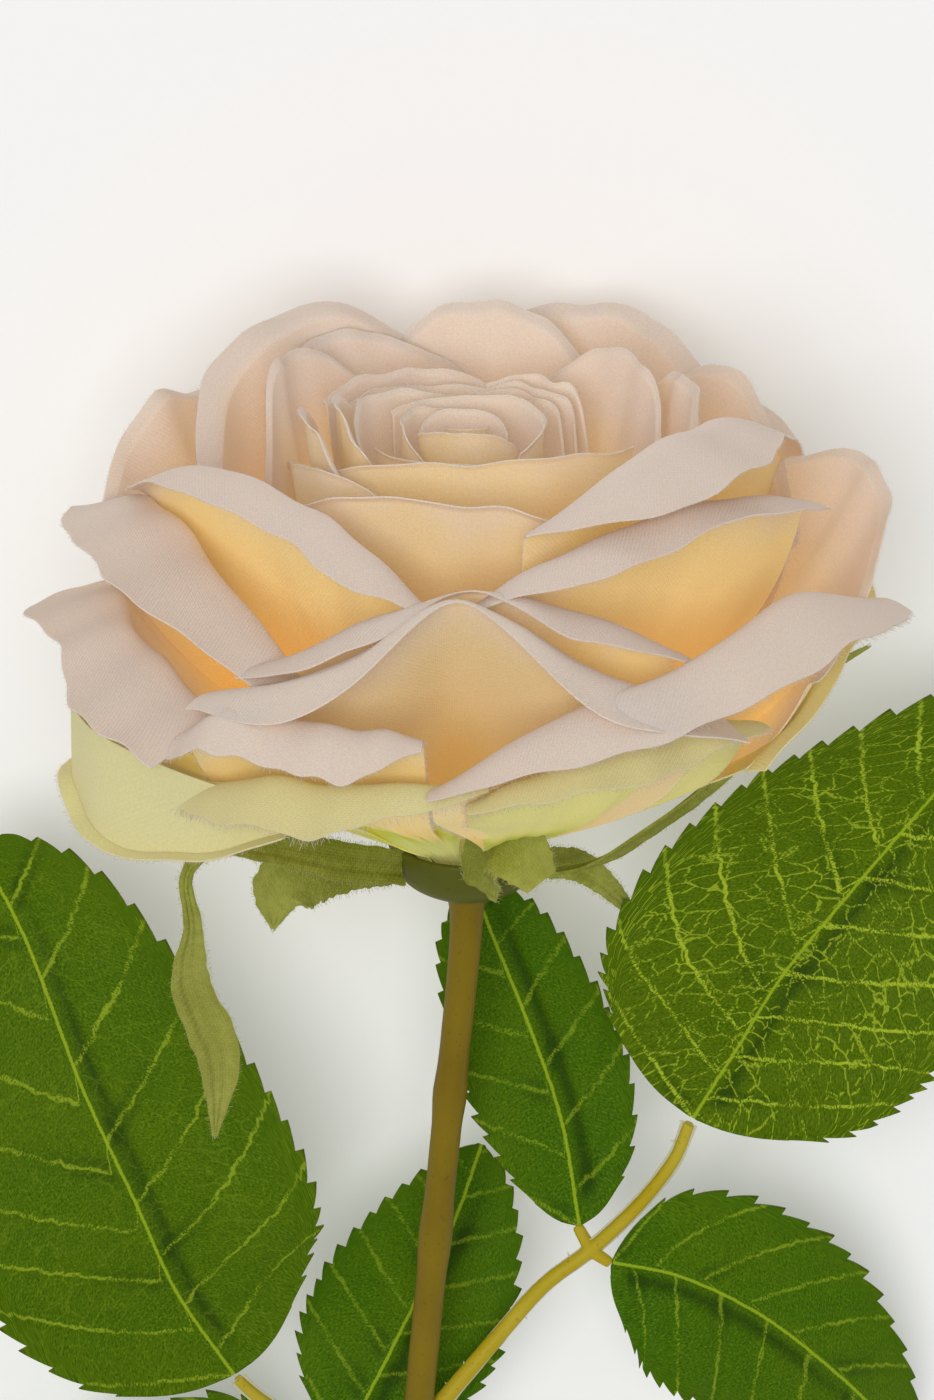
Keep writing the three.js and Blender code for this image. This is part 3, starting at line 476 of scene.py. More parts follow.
# %% The petals, from the heart out
PETALS = [
    ("petal_core_1", [-150, -75, 0, 75, 150], [3.2, 2.6, 2.4, 2.6, 2.9],
     [65, 66.5, 67, 66.5, 65], 0.6, 0, 10, BUTTER),
    ("petal_core_2", [80, 130, 180, 225, 270], [5.0, 5.3, 5.6, 5.8, 6.0],
     [64, 66, 66.5, 66.5, 65], 0.8, 0, 20, BUTTER),
    ("petal_core_3", [-75, -35, 0, 38, 80], [6.4, 6.4, 6.5, 6.8, 7.2],
     [66, 67.6, 67.9, 67, 63], 0.8, 0, 20, BUTTER),
    ("petal_core_4", [-175, -140, -105, -70, -38], [8.4, 8.4, 8.4, 8.6, 8.8],
     [65, 66.3, 67, 67, 64], 0.9, 0, 30, BUTTER),
    ("petal_core_5", [46, 90, 140, 190, 242], [9.4, 9.8, 10.2, 10.6, 11],
     [65, 66.8, 66.8, 66.2, 66.2], 1, 0, 30, BUTTER),
    ("petal_heart_1", [-82, -40, 2, 42, 82], [12, 12, 12, 12.2, 12.6],
     [64, 65.4, 65.6, 65.2, 63], 0.8, 2, 20, BUTTER),
    ("petal_heart_2", [-178, -150, -122, -96, -68], [13.4, 13.6, 14, 14.4, 14.6],
     [64.6, 66.4, 67.8, 68.4, 65], 1, 0, 40, BUTTER),
    ("petal_heart_3", [108, 121, 140, 160, 182], [13.8, 14, 14, 14, 14.2],
     [57, 65.2, 66.2, 66.2, 64.5], 0.8, 0, 20, BUTTER),
    ("petal_heart_4", [112, 123, 140, 158, 176], [16, 16.2, 16.2, 16.2, 16.2],
     [56, 65.6, 66.5, 66.4, 64.5], 0.8, 0, 20, BUTTER),
    ("petal_heart_5", [-128, -108, -88, -68, -48], [16.6, 16.8, 17, 17, 16.8],
     [62, 68, 69.8, 69.8, 66], 1.2, 2, 60, BUTTER),
    ("petal_heart_6", [117, 127, 142, 158, 172], [18.4, 18.6, 18.6, 18.6, 18.6],
     [56, 65.8, 67, 66.8, 65], 0.8, 0, 20, BUTTER),
    ("petal_heart_7", [152, 174, 196, 218, 240], [17.4, 17.6, 17.8, 18, 18],
     [63, 64.8, 65.4, 66, 66], 0.8, 2, 20, BUTTER),
    ("petal_inner_front", [-66, -32, 4, 38, 74], [20.6, 19.6, 19.2, 20, 22.5],
     [63, 68, 68.8, 68.6, 66], 0.8, 4, 30, BUTTER),
    ("petal_inner_left", [-118, -100, -82, -64, -44], [20.6, 20.8, 21, 21.2, 21],
     [57, 66.5, 68.8, 68.6, 63], 1.4, 4, 70, BUTTER),
    ("petal_inner_back", [166, 184, 204, 224, 243], [20.6, 20.6, 20.6, 20.6, 20.8],
     [62, 65.8, 66.6, 67, 66], 1, 4, 30, IVORY),
    ("petal_inner_right", [92, 108, 124, 141, 158], [25.2, 25.6, 25.8, 25.8, 25.4],
     [60, 69, 70.4, 68.6, 62], 1.2, 6, 30, IVORY),
    ("petal_inner_left_low", [-104, -80, -56, -32, -10], [23.5, 23.2, 23.2, 24, 24.5],
     [58, 63, 65.5, 65.5, 58], 0.8, 6, 20, BUTTER),
    ("petal_inner_left_tall", [-152, -134, -116, -101, -85], [26.4, 26.4, 26.4, 26, 25.8],
     [62, 69, 71, 70, 52], 1.4, 4, 40, IVORY),
    ("petal_middle_front", [-62, -32, -4, 22, 50], [29.5, 28.4, 28, 28.8, 31.5],
     [59, 66.3, 66.8, 64.2, 56.5], 1.2, 8, 40, BUTTER),
    ("petal_middle_right", [76, 90, 104, 117, 130], [29.4, 29.4, 29.4, 29.4, 29],
     [58, 66.8, 69.5, 68, 60], 1.6, 8, 40, IVORY),
    ("petal_middle_back_left", [172, 188, 204, 220, 238], [30.5, 30.5, 30.8, 31, 31],
     [57, 63.6, 67.4, 68.8, 64], 1.6, 8, 40, IVORY),
    ("petal_left_cup", [-172, -148, -122, -97, -70], [34, 33.4, 33, 32.4, 32],
     [62, 71.3, 69.6, 62.6, 49], [2, 3, 4, 4, 2], 8, 70, IVORY),
    ("petal_middle_back", [146, 160, 174, 188, 202], [33.4, 33.4, 33.6, 33.6, 33.4],
     [57, 67, 69.8, 68.4, 59], 2, 10, 50, IVORY),
    ("petal_right_flap", [12, 35, 58, 76, 96], [34.5, 32.6, 32.6, 36.4, 41.5],
     [65, 71.5, 73, 70.5, 60], [2, 11, 12, 7, 3], 8, 105, IVORY),
    ("petal_left_flap", [-90, -64, -40, -22, -6], [42, 37, 34.5, 35.2, 38],
     [57, 67.3, 67.5, 63.6, 56], [3, 7, 8, 8, 3], 8, 110, IVORY),
    ("petal_right_lip", [-2, 16, 36, 56, 76], [38.5, 37.6, 38.4, 41.4, 45],
     [56.5, 63, 66.3, 66.2, 60], [2, 7, 7.5, 7, 4], 10, 105, IVORY),
    ("petal_back_right", [122, 138, 153, 167, 182], [39.5, 40.5, 41.2, 40.3, 39],
     [56, 65, 67.3, 66.3, 59], 3, 12, 60, IVORY),
    ("petal_right_shoulder", [84, 99, 114, 128, 142], [42.6, 39.6, 38.2, 38, 37.4],
     [51, 62, 66.3, 64.5, 55], 2, 10, 50, IVORY),
    ("petal_left_shoulder", [-146, -126, -110, -98, -84], [39.6, 40.6, 42.4, 45.8, 48],
     [53, 59.6, 64.8, 58.4, 49], 2, 12, 50, IVORY),
    ("petal_back_left", [182, 197, 211, 225, 240], [39, 39.5, 39.5, 39.5, 39],
     [54, 61.5, 64.5, 62.5, 54], 2.5, 12, 60, IVORY),
    ("petal_front_inner", [-36, -17, 0, 17, 36], [46, 42.4, 38.6, 42, 45.4],
     [48.5, 56, 59.4, 58.3, 50], [4, 7, 1.4, 7, 4], 14, 105, IVORY),
    ("petal_left_wing", [-101, -86, -66, -46, -26], [43.4, 41.4, 38.8, 40.4, 44],
     [51, 58, 57.8, 54.3, 47], [7, 11, 12.5, 11, 5], 22, 88, IVORY),
    ("petal_front", [-40, -20, -1, 18, 38], [51, 47.4, 42.8, 47.4, 50],
     [45.5, 52.3, 60, 52.5, 43], [5, 9.5, 2, 9.5, 8], 16, 105, BUTTER),
    ("petal_right_outer", [60, 74, 88, 100, 114], [51, 53.6, 54, 51.6, 45.4],
     [41, 50, 56.8, 58.2, 53], 2, 24, 30, IVORY),
    ("petal_left_point", [-98, -83, -69, -55, -41], [45, 46, 46.4, 47, 48.6],
     [42, 46.4, 46, 44.8, 41.5], [5, 12, 9.5, 13, 12], 30, 85, IVORY),
    ("petal_front_left_roll", [-42, -33, -23, -14, -6], [53.6, 53.8, 53.8, 53.2, 52.4],
     [40.5, 46.6, 46.7, 46.7, 45], [5, 8, 8, 8, 3], 22, 120, IVORY),
    ("petal_front_right_long", [-5, 12, 32, 55, 78], [53.4, 52, 50, 49.8, 54.5],
     [38.5, 47.3, 50.8, 54.6, 46.8], [3, 8, 9.5, 10, 5], 22, 112, IVORY),
    ("petal_front_right_low", [0, 12, 24, 36, 50], [50.5, 51, 50.5, 49.5, 48],
     [35.5, 40.5, 42.5, 42.5, 38], [3, 6, 7, 6, 3], 24, 110, LIME),
    ("petal_back_right_low", [112, 130, 147, 163, 179], [50, 53, 52.6, 46.6, 44.6],
     [40, 51, 55, 54, 44], 3.5, 22, 60, IVORY),
    ("petal_back_left_low", [181, 197, 213, 230, 248], [44.6, 46.6, 52.6, 53, 50],
     [44, 54, 55, 51, 40], 3.5, 22, 60, IVORY),
    ("petal_right_guard", [52, 70, 88, 106, 122], [46, 49, 51, 50, 47],
     [30, 38, 42, 41, 34], 3, 40, 30, LIME),
    ("petal_left_guard", [-80, -70, -57, -42, -26], [46, 54.5, 57, 54, 51.5],
     [27, 26, 22.5, 24, 30], 2, 75, 25, LIME),
    ("petal_front_guard", [-45, -33, -21, -10, 3], [51, 52, 52.4, 52.2, 51],
     [31, 36, 38, 39, 38.5], [3, 6.5, 7.5, 5.5, 1.5], 50, 92, LIME),
    ("petal_floor_guard", [150, 168, 186, 204, 222], [43, 43.5, 43.5, 43.5, 43],
     [28, 36, 39, 36, 28], 2, 40, 30, LIME),
]
FOOT_RADIUS, FOOT_LIFT, FOOT_RISE = 2.6, 1.9, 11.0
BLOOM_RADIUS = 58.0
BELLY_OUT, BELLY_UP, CREASE_REACH, ROLL_RADIUS, FOOT_WIDTH = 0.33, 0.42, 0.4, 1.6, 0.5
CUP_FROM, CUP_TO, CUP_HEIGHT, SLOPE_PAST_CUP = 2.6, 9.6, 8.6, 0.6
CUSHION, CUSHION_REACH = 0.35, 0.5
PETAL_THICKNESS, FLOOR_GAP = 0.22, 0.15
print(len(PETALS), "petals")

# %% The shape of one petal


def petal_grid(seed, azimuths, outs, ups, lip, lean, curl, columns=56, body_rows=26, lip_rows=24):
    """Middle points of a petal in the bloom's axes, and marks for its finish."""
    across = np.linspace(0, 1, columns)
    crease = smooth_through(np.column_stack([azimuths, outs, ups]), across)
    lips = np.maximum(0.4, smooth_through(np.broadcast_to(lip, 5), across)[:, 0])
    calm = np.sin(math.pi * across) ** 0.4
    wide = min(1.0, max(outs) / 30)
    rim_out = crease[:, 1] + 0.5 * wide * calm * ripples(seed, across, [1.3, 2.4, 3.7])
    rim_up = crease[:, 2] + 0.45 * wide * calm * ripples(seed + 1, across, [1.7, 2.9, 4.6])
    lips = lips * (1.12 + 0.05 * ripples(seed + 2, across, [1.6, 3.1, 7.2]))
    lean, curl = math.radians(lean), math.radians(curl)
    foot = FOOT_LIFT + max(0.0, 1 - max(outs) / BLOOM_RADIUS) * FOOT_RISE

    rise = np.linspace(0, 1, body_rows)[:, None]
    span = np.hypot(rim_out, rim_up - foot) * CREASE_REACH
    steps = [(1 - rise) ** 3, 3 * (1 - rise) ** 2 * rise, 3 * (1 - rise) * rise**2, rise**3]
    out = sum(w * p for w, p in zip(steps, [FOOT_RADIUS, FOOT_RADIUS + BELLY_OUT * rim_out,
                                            rim_out - span * math.sin(lean), rim_out]))
    up = sum(w * p for w, p in zip(steps, [foot, foot + BELLY_UP * rim_up,
                                           rim_up - span * math.cos(lean), rim_up]))

    # A petal lies on the inside of the hip and on its rim, and never sinks into them.
    over_rim = CUP_HEIGHT * ease(out, CUP_FROM, CUP_TO) + SLOPE_PAST_CUP * np.clip(out - CUP_TO, 0, None)
    gap = up - over_rim
    up = over_rim + np.where(gap > 0, gap, 0) + CUSHION * np.exp(-np.abs(gap) / CUSHION_REACH)

    past = (np.linspace(0, 1, lip_rows + 1)[1:] ** 1.15)[:, None]
    run = past * lips
    roll = ROLL_RADIUS * abs(curl) * 0.6
    lift_back = 0.3 * np.clip((lips - 4) / 6, 0, 1) * past**3
    angle = lean + curl * (1 - np.exp(-run / roll)) - lift_back * np.sign(curl)
    step = np.diff(np.vstack([np.zeros((1, columns)), run]), axis=0)
    out = np.vstack([out, rim_out + np.cumsum(step * np.sin(angle), axis=0)])
    up = np.vstack([up, rim_up + np.cumsum(step * np.cos(angle), axis=0)])

    rises = np.vstack([np.broadcast_to(rise, (body_rows, columns)), np.ones((lip_rows, columns))])
    pasts = np.vstack([np.zeros((body_rows, columns)), np.broadcast_to(past, (lip_rows, columns))])
    spread = FOOT_WIDTH + (1 - FOOT_WIDTH) * np.sin(rises * math.pi / 2)
    middle = (azimuths[0] + azimuths[4]) / 2
    azimuth = np.radians(middle + (crease[:, 0] - middle) * spread)
    grid = np.stack([out * np.sin(azimuth), up, out * np.cos(azimuth)], -1)

    normals = grid_normals(grid)
    pleats = ripples(seed + 3, across, [1.6, 2.7, 4.3]) * 0.4 + ripples(seed + 4, across, [6.5, 9.5]) * 0.12
    push = wide * pleats * np.sin(math.pi * np.clip(rises * 1.02, 0, 1)) * (pasts == 0)
    wave = (ripples(seed + 5, across, [1.1, 1.9]) * (0.2 + 0.05 * lips)
            + 0.12 * ripples(seed + 6, across, [4.3, 7.1]))
    push = push + wide * wave * pasts**1.4
    grid = grid + normals * push[..., None]

    side = np.minimum(across, 1 - across) * np.linalg.norm(np.diff(grid, axis=1), axis=2).sum(1)[:, None]
    top = (1 - pasts) * lips + (1 - rises) * 40
    marks = {"rise": rises, "past_crease": pasts * np.minimum(1, lips / 3), "to_edge": np.minimum(side, top)}
    return grid, marks


# %% Make the petals
HEM_FROM, SHORT_FRAY, FRAY_SPACING, LONG_FRAY_SPACING = 0.3, 0.45, 0.55, 0.3
LONG_FRAY = {"petal_front_guard": 1.4, "petal_front_right_long": 1.0, "petal_front_left_roll": 0.7,
             "petal_front_right_low": 0.9, "petal_left_guard": 0.7}
floor_way = turn.T @ [0, 0, 1]
face_count = 0
for order, (name, azimuths, outs, ups, lip, lean, curl, finish) in enumerate(PETALS):
    grid, marks = petal_grid(order * 10 + 1, azimuths, outs, ups, lip, lean, curl)
    grid += floor_way * np.maximum(0, FLOOR_GAP - laid(grid)[..., 2:] / MM)
    piece = shell(name + "_cloth", grid, PETAL_THICKNESS, marks, hem_from=HEM_FROM)
    piece.data.materials.append(finish)
    fray(piece, LONG_FRAY.get(name, SHORT_FRAY), order,
         spacing=LONG_FRAY_SPACING if name in LONG_FRAY else FRAY_SPACING)
    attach(piece, "root")
    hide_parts(name)
    face_count += len(piece.data.polygons)
print(len(PETALS), "petals,", face_count, "faces")

# %% [markdown]
# ## Blades: sepals and leaflets
# A sepal or a leaflet is a strip along a midrib. The midrib is a smooth curve through a few points, the strip
# widens and narrows along it, and its two halves lift into a shallow V. The same surface serves both: only the
# outline, the teeth and the pressed ribs differ.

# %% A blade along its midrib


def blade_lines(points, facing, share):
    """Midrib points, and the directions across and over the blade, at each share of its length."""
    centre = smooth_through(points, share)
    tangent = unit(smooth_through(points, share + 1e-3) - smooth_through(points, share - 1e-3))
    across = unit(np.cross(tangent, np.asarray(facing, float)))
    return centre, across, np.cross(across, tangent)


def blade_grid(points, facing, share, reach, fold, lift):
    """Grid of a blade. reach and lift are grids: sideways from the midrib, and up off the blade."""
    centre, across, over = blade_lines(points, facing, share)
    up = np.abs(reach) * math.sin(math.radians(fold)) + lift
    return (centre[:, None] + across[:, None] * (reach * math.cos(math.radians(fold)))[..., None]
            + over[:, None] * up[..., None])


# %% [markdown]
# ## Sepals
# The sepals are narrow strips of coarse cloth in mottled olive, glued under the hip's rim. They curl, droop
# and fray more than the petals. Their cloth shows its weave, so the finish is mostly weave and blotches.

# %% Sepal cloth
sepal_cloth, tree, shader = new_finish("mottled olive cloth")
coordinates = tree.nodes.new("ShaderNodeTexCoord").outputs
fine = use_group(tree, blotch, Place=coordinates["Object"], Scale=900.0)[0]
slow = use_group(tree, blotch, Place=coordinates["Object"], Scale=130.0)[0]
threads = use_group(tree, weave, Cloth=coordinates["UV"], Threads_per_metre=2300.0)
colour = blend_colours(tree, slow, (0.21, 0.235, 0.012, 1), (0.33, 0.35, 0.06, 1))
for mask, share, wash in [(fine, 0.5, (0.15, 0.165, 0.01, 1)), (threads["Lightness"], 0.3, (0.50, 0.52, 0.16, 1)),
                          (fade(tree, mark_of(tree, "rise"), 0.3, 1.0), 0.35, (0.42, 0.42, 0.10, 1))]:
    colour = blend_colours(tree, calc(tree, "MULTIPLY", mask, share), colour, wash)
bump = add_node(tree, "ShaderNodeBump", Strength=0.5, Distance=0.0001, Height=threads["Height"])
wire(tree, shader, Base_Color=colour, Normal=bump.outputs[0], Roughness=0.85, Specular_IOR_Level=0.08)

olive_thread, tree, shader = new_finish("olive threads")
wire(tree, shader, Base_Color=(0.46, 0.46, 0.16, 1), Roughness=0.8)

# %% Make the sepals
SEPAL_OUT, SEPAL_THICKNESS, SEPAL_FOLD = HIP_RADIUS + 0.8, 0.35, 12
SEPALS = [
    ("sepal_left_long", -54, 0, (0.5, 0.7, 1), [2.4, 2.7, 2.0, 1.1, 0.8, 1.4, 2.9, 3.1, 0.3],
     [[-8, 4.5, 7.5], [-17, 11, 17.5], [-24, 15, 25.5], [-27.5, 12, 28], [-27, 4.5, 27.5],
      [-27.5, -4.5, 26.5], [-24, -15.5, 25.5], [-24.5, -27.5, 24.5]]),
    ("sepal_left_short", -67, 1.4, (0, 0.3, 1), [1.8, 2.8, 4.4, 4.0, 0.2],
     [[-4.2, 1.9, 3.4], [-10.2, 3.4, 6.9], [-14.7, 1.9, 9.9], [-15.7, -3.1, 11.4]]),
    ("sepal_front", 10, 1, (-0.2, 0.6, 1), [2.6, 3.4, 4.0, 4.2, 2.4],
     [[0.6, 7.5, 6.5], [2, 14.5, 16], [5, 14.5, 20], [7.8, 11.2, 21.4]]),
    ("sepal_right_long", 66.5, 1.5, (0.8, -0.6, 0.6), [2.8, 3.6, 3.5, 2.8, 1.6, 0.3],
     [[8.8, 4, 3], [19.8, 13, 4], [29.8, 24, 4.5], [36.3, 30.5, 4.5], [42.8, 34.5, 3.5]]),
    ("sepal_right_low", 95, 2.6, (0.3, 0.2, 1), [2.2, 2.2, 1.7, 1.0, 0.15],
     [[3.8, -0.8, -1], [7.3, -3.8, -2], [10.2, -7.4, -3], [12.3, -10.8, -4]]),
]
for order, (name, azimuth, drop, facing, half_widths, steps) in enumerate(SEPALS):
    start = np.array([SEPAL_OUT * math.sin(math.radians(azimuth)), HIP_HEIGHT - drop,
                      SEPAL_OUT * math.cos(math.radians(azimuth))])
    points = start + np.array([[0, 0, 0], *steps], float)
    share = np.linspace(0, 1, 90)
    u = np.linspace(-1, 1, 17)
    half = np.maximum(0.12, smooth_through(half_widths, share)[:, 0])
    ragged = 1 + 0.05 * ripples(700 + order, share, [7, 13, 22])
    reach = u * (half * ragged)[:, None]
    lift = 0.35 * ripples(720 + order, share, [1.5, 3.2])[:, None] * u**2 + 0.12 * np.cos(3 * math.pi * u)
    grid = blade_grid(points, facing, share, reach, SEPAL_FOLD, lift)
    marks = {"rise": np.repeat(share[:, None], len(u), 1)}
    piece = shell(name + "_cloth", grid, SEPAL_THICKNESS, marks)
    piece.data.materials.append(sepal_cloth)
    fray(piece, 0.7, 60 + order, spacing=0.35, finish=olive_thread)
    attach(piece, "root")
    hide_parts(name)
print(len(SEPALS), "sepals")

# %% [markdown]
# ## Leaf cloth
# The leaflets are printed cloth: a mid green ground, a pale midrib, side ribs and a fine net of veins, all
# printed as speckles on the weave. Cutting leaves a dark red-brown line on the teeth. The ribs are placed by
# the shell's own marks, so the print always sits on the pressed ribs, and the net is a cell pattern on the
# cloth's UV, broken up by noise. How bold the print is differs from leaf to leaf, so that is a mark too.

# %% The vein group
veins, given, made = new_group(
    "printed veins",
    [("Cloth", "Vector", None), ("From midrib", "Float", 0.0), ("Rib phase", "Float", 0.0),
     ("Rib spacing", "Float", 8.0), ("Boldness", "Float", 1.0)],
    [("Midrib", "Float"), ("Net", "Float")])
wobble = calc(veins, "MULTIPLY_ADD", noise(veins, given["Cloth"], 420.0, 2.0), 0.5, -0.25)
grain = noise(veins, given["Cloth"], 3300.0, 1.0)
from_midrib = calc(veins, "ADD", given["From midrib"], calc(veins, "MULTIPLY", wobble, 0.35))
from_midrib = calc(veins, "ABSOLUTE", from_midrib)
midrib = fade(veins, calc(veins, "ADD", from_midrib, calc(veins, "MULTIPLY", grain, 0.3)), 0.46, 0.26)
veins.links.new(midrib, made["Midrib"])
phase = calc(veins, "ADD", given["Rib phase"], calc(veins, "MULTIPLY", wobble, 0.42))
from_rib = calc(veins, "ABSOLUTE", calc(veins, "SUBTRACT", calc(veins, "FRACT", phase), 0.5))
rib = fade(veins, calc(veins, "MULTIPLY", from_rib, given["Rib spacing"]), 0.46, 0.16)
drift = add_node(veins, "ShaderNodeTexNoise", Vector=given["Cloth"], Scale=260.0, Detail=3.0).outputs["Color"]
drift = vector_calc(veins, "ADD", given["Cloth"], vector_calc(veins, "SCALE", drift, 0.0022))
net = add_node(veins, "ShaderNodeTexVoronoi", {"feature": "DISTANCE_TO_EDGE"}, Vector=drift,
               Scale=330.0).outputs["Distance"]
net_strength = fade(veins, given["Boldness"], 0.25, 1.1, 0, 0.75)
net = calc(veins, "MULTIPLY", fade(veins, net, 0.055, 0.012), net_strength)
lines = calc(veins, "MAXIMUM", rib, net)
patchy = calc(veins, "MULTIPLY_ADD", noise(veins, given["Cloth"], 95.0, 2.0), 0.9, -0.42)
speckle = fade(veins, calc(veins, "MULTIPLY_ADD", grain, 1.0, patchy), 0.36, 0.62)
veins.links.new(calc(veins, "MULTIPLY", calc(veins, "MULTIPLY", lines, speckle), given["Boldness"]), made["Net"])

# %% The leaf finish
leaf_cloth, tree, shader = new_finish("printed leaf cloth")
coordinates = tree.nodes.new("ShaderNodeTexCoord").outputs
cloth, place = coordinates["UV"], coordinates["Object"]
threads = use_group(tree, weave, Cloth=cloth, Threads_per_metre=3400.0)
print_marks = use_group(tree, veins, Cloth=cloth, From_midrib=mark_of(tree, "from_midrib"),
                        Rib_phase=mark_of(tree, "rib_phase"), Rib_spacing=mark_of(tree, "rib_spacing"),
                        Boldness=mark_of(tree, "boldness"))
slow = use_group(tree, blotch, Place=place, Scale=60.0)[0]
fine = use_group(tree, blotch, Place=place, Scale=520.0)[0]
dots = noise(tree, cloth, 2900.0, 1.0)
ground = blend_colours(tree, slow, (0.018, 0.105, 0.0, 1), (0.058, 0.14, 0.0, 1))
for mask, share, wash in [(mark_of(tree, "olive"), 0.8, (0.098, 0.135, 0.0, 1)),
                          (fine, 0.3, (0.035, 0.085, 0.0, 1)),
                          (threads["Lightness"], 0.45, (0.11, 0.21, 0.004, 1))]:
    ground = blend_colours(tree, calc(tree, "MULTIPLY", mask, share), ground, wash)
ground = blend_colours(tree, fade(tree, dots, 0.52, 0.72, 0, 0.55), ground, (0.14, 0.26, 0.006, 1))
colour = blend_colours(tree, fade(tree, dots, 0.46, 0.3, 0, 0.5), ground, (0.01, 0.045, 0.0, 1))
# The first wash below darkens the groove beside the midrib and a band beside some side ribs: that is painted
# shade.
for mask, share, wash in [(mark_of(tree, "painted_groove_shade"), 0.75, (0.014, 0.042, 0.002, 1)),
                          (print_marks["Net"], 0.95, (0.40, 0.52, 0.03, 1)),
                          (print_marks["Midrib"], 0.9, (0.30, 0.42, 0.015, 1))]:
    colour = blend_colours(tree, calc(tree, "MULTIPLY", mask, share), colour, wash)
speck = add_node(tree, "ShaderNodeTexVoronoi", Vector=cloth, Scale=85.0).outputs["Distance"]
colour = blend_colours(tree, fade(tree, speck, 0.035, 0.02), colour, (0.62, 0.66, 0.60, 1))
near_edge = fade(tree, mark_of(tree, "to_edge"), 0.3, 0.02)
scorch = calc(tree, "MULTIPLY", near_edge, fade(tree, dots, 0.4, 0.6, 0.25, 0.9))
colour = blend_colours(tree, scorch, colour, (0.055, 0.022, 0.008, 1))
under = blend_colours(tree, slow, (0.17, 0.25, 0.075, 1), (0.22, 0.30, 0.10, 1))
under = blend_colours(tree, calc(tree, "MULTIPLY", threads["Lightness"], 0.35), under, (0.36, 0.43, 0.2, 1))
colour = blend_colours(tree, mark_of(tree, "inner_face"), colour, under)
bump = add_node(tree, "ShaderNodeBump", Strength=0.4, Distance=0.00008, Height=threads["Height"])
wire(tree, shader, Base_Color=colour, Roughness=fade(tree, threads["Lightness"], 0, 1, 0.68, 0.5),
     Normal=bump.outputs[0], Specular_IOR_Level=0.06)

# %% [markdown]
# ## Leaflets
# A leaflet's edge is cut in teeth that point to its tip: each rises slowly and drops at once. Rows of the grid
# are set two by two at every drop, which keeps the teeth sharp without a very fine grid, and the teeth of the
# two edges take turns. The press leaves a ridge along the midrib with a deep groove beside it, lower ribs to
# each tooth, and a slight pucker between them. Behind, a moulded rib runs up the middle.

# %% The shape of one leaflet
LEAF_COLUMNS, LEAF_FOLD, LEAF_THICKNESS = 49, 8, 0.32


def tooth_rows(teeth):
    """Shares of the length, with two close rows at each drop of either edge."""
    drops = (np.arange(1, 2 * teeth) / (2 * teeth)).tolist()
    rows = [0.0]
    for start, end in zip([0.0, *drops], [*drops, 1.0]):
        rows += np.linspace(start + 2e-4, end - 2e-4, 6).tolist()
    return np.array([*rows, 1.0])


def leaflet_grid(seed, width, points, facing, teeth, depth, olive, boldness, twist):
    share = tooth_rows(teeth)
    half = width / 2 * np.maximum(0.04, np.sin(math.pi * share**0.78) ** 0.68)
    u = np.linspace(-1, 1, LEAF_COLUMNS)
    u = (np.sign(u) * np.abs(u) ** 0.9)[None, :]
    length = np.linalg.norm(np.diff(smooth_through(points, np.linspace(0, 1, 60)), axis=0), axis=1).sum()

    dice = np.random.default_rng(seed)
    sizes = dice.uniform(0.7, 1.15, 2 * teeth + 4)
    bare = ease(share, 0.05, 0.14) * ease(share, 1.0, 0.95)
    tooth = np.zeros((len(share), 2))
    for edge_number, offset in enumerate([0.0, 0.5]):
        count = share * teeth + offset
        tooth_size = sizes[np.floor(count).astype(int) + edge_number * teeth]
        tooth[:, edge_number] = (count % 1.0) ** 0.85 * depth * bare * tooth_size
    out_at = np.where(u < 0, tooth[:, :1], tooth[:, 1:])
    margin = ease(np.abs(u), 0.86, 1.0)
    reach = u * half[:, None] + np.sign(u) * out_at * margin

    side = np.abs(reach)
    along = share[:, None] * length
    spacing = length / teeth * 2.4
    climb = along - side * 0.62 - side**2 * 0.006
    phase = climb / spacing + np.where(u < 0, 0.5, 0.0)
    from_rib = np.abs(phase % 1.0 - 0.5) * spacing
    rib = np.exp(-(from_rib / 0.7) ** 2) * ease(side, 0.5, 2.5) * (1 - 0.7 * margin)
    midrib = np.exp(-(reach / 0.55) ** 2)
    groove = (np.exp(-((reach - 2.1) / 0.95) ** 2)
              * ease(share, 0.02, 0.12)[:, None] * ease(share, 0.96, 0.6)[:, None])
    pucker = np.cos(2 * math.pi * phase) * ease(side, 1.0, 7.0) * (1 - margin)
    slow = ripples(seed + 1, share, [0.9, 2.1])[:, None] * (side / (width / 2)) ** 1.5 * 1.1
    lift = 0.28 * midrib - 0.55 * groove + 0.14 * rib + 0.16 * pucker + slow
    lift = lift + math.tan(math.radians(twist)) * reach * (share[:, None] - 0.4)
    grid = blade_grid(points, facing, share, reach, LEAF_FOLD, lift)

    # Painted shade: a dark band beside some of the side ribs, added to the groove's painted shade.
    painted_rib_shade = np.exp(-((from_rib - 1.1) / 0.8) ** 2) * ease(side, 0.3, 1.5) * ease(side, 0.55 * width / 2, 0)
    painted_rib_shade = painted_rib_shade * (np.sin(np.floor(phase) * 2.4 + seed) > 0.1)
    marks = {
        "from_midrib": reach, "rib_phase": phase, "rib_spacing": np.full_like(reach, spacing),
        "boldness": np.full_like(reach, boldness), "olive": np.full_like(reach, olive),
        "painted_groove_shade": np.clip(groove + 0.7 * painted_rib_shade, 0, 1),
        "to_edge": (1 - np.abs(u)) * half[:, None] + 0.8 * (depth - out_at) * margin * 0.4,
    }
    return grid, marks, 0.55 * midrib * ease(share, 1.0, 0.7)[:, None]


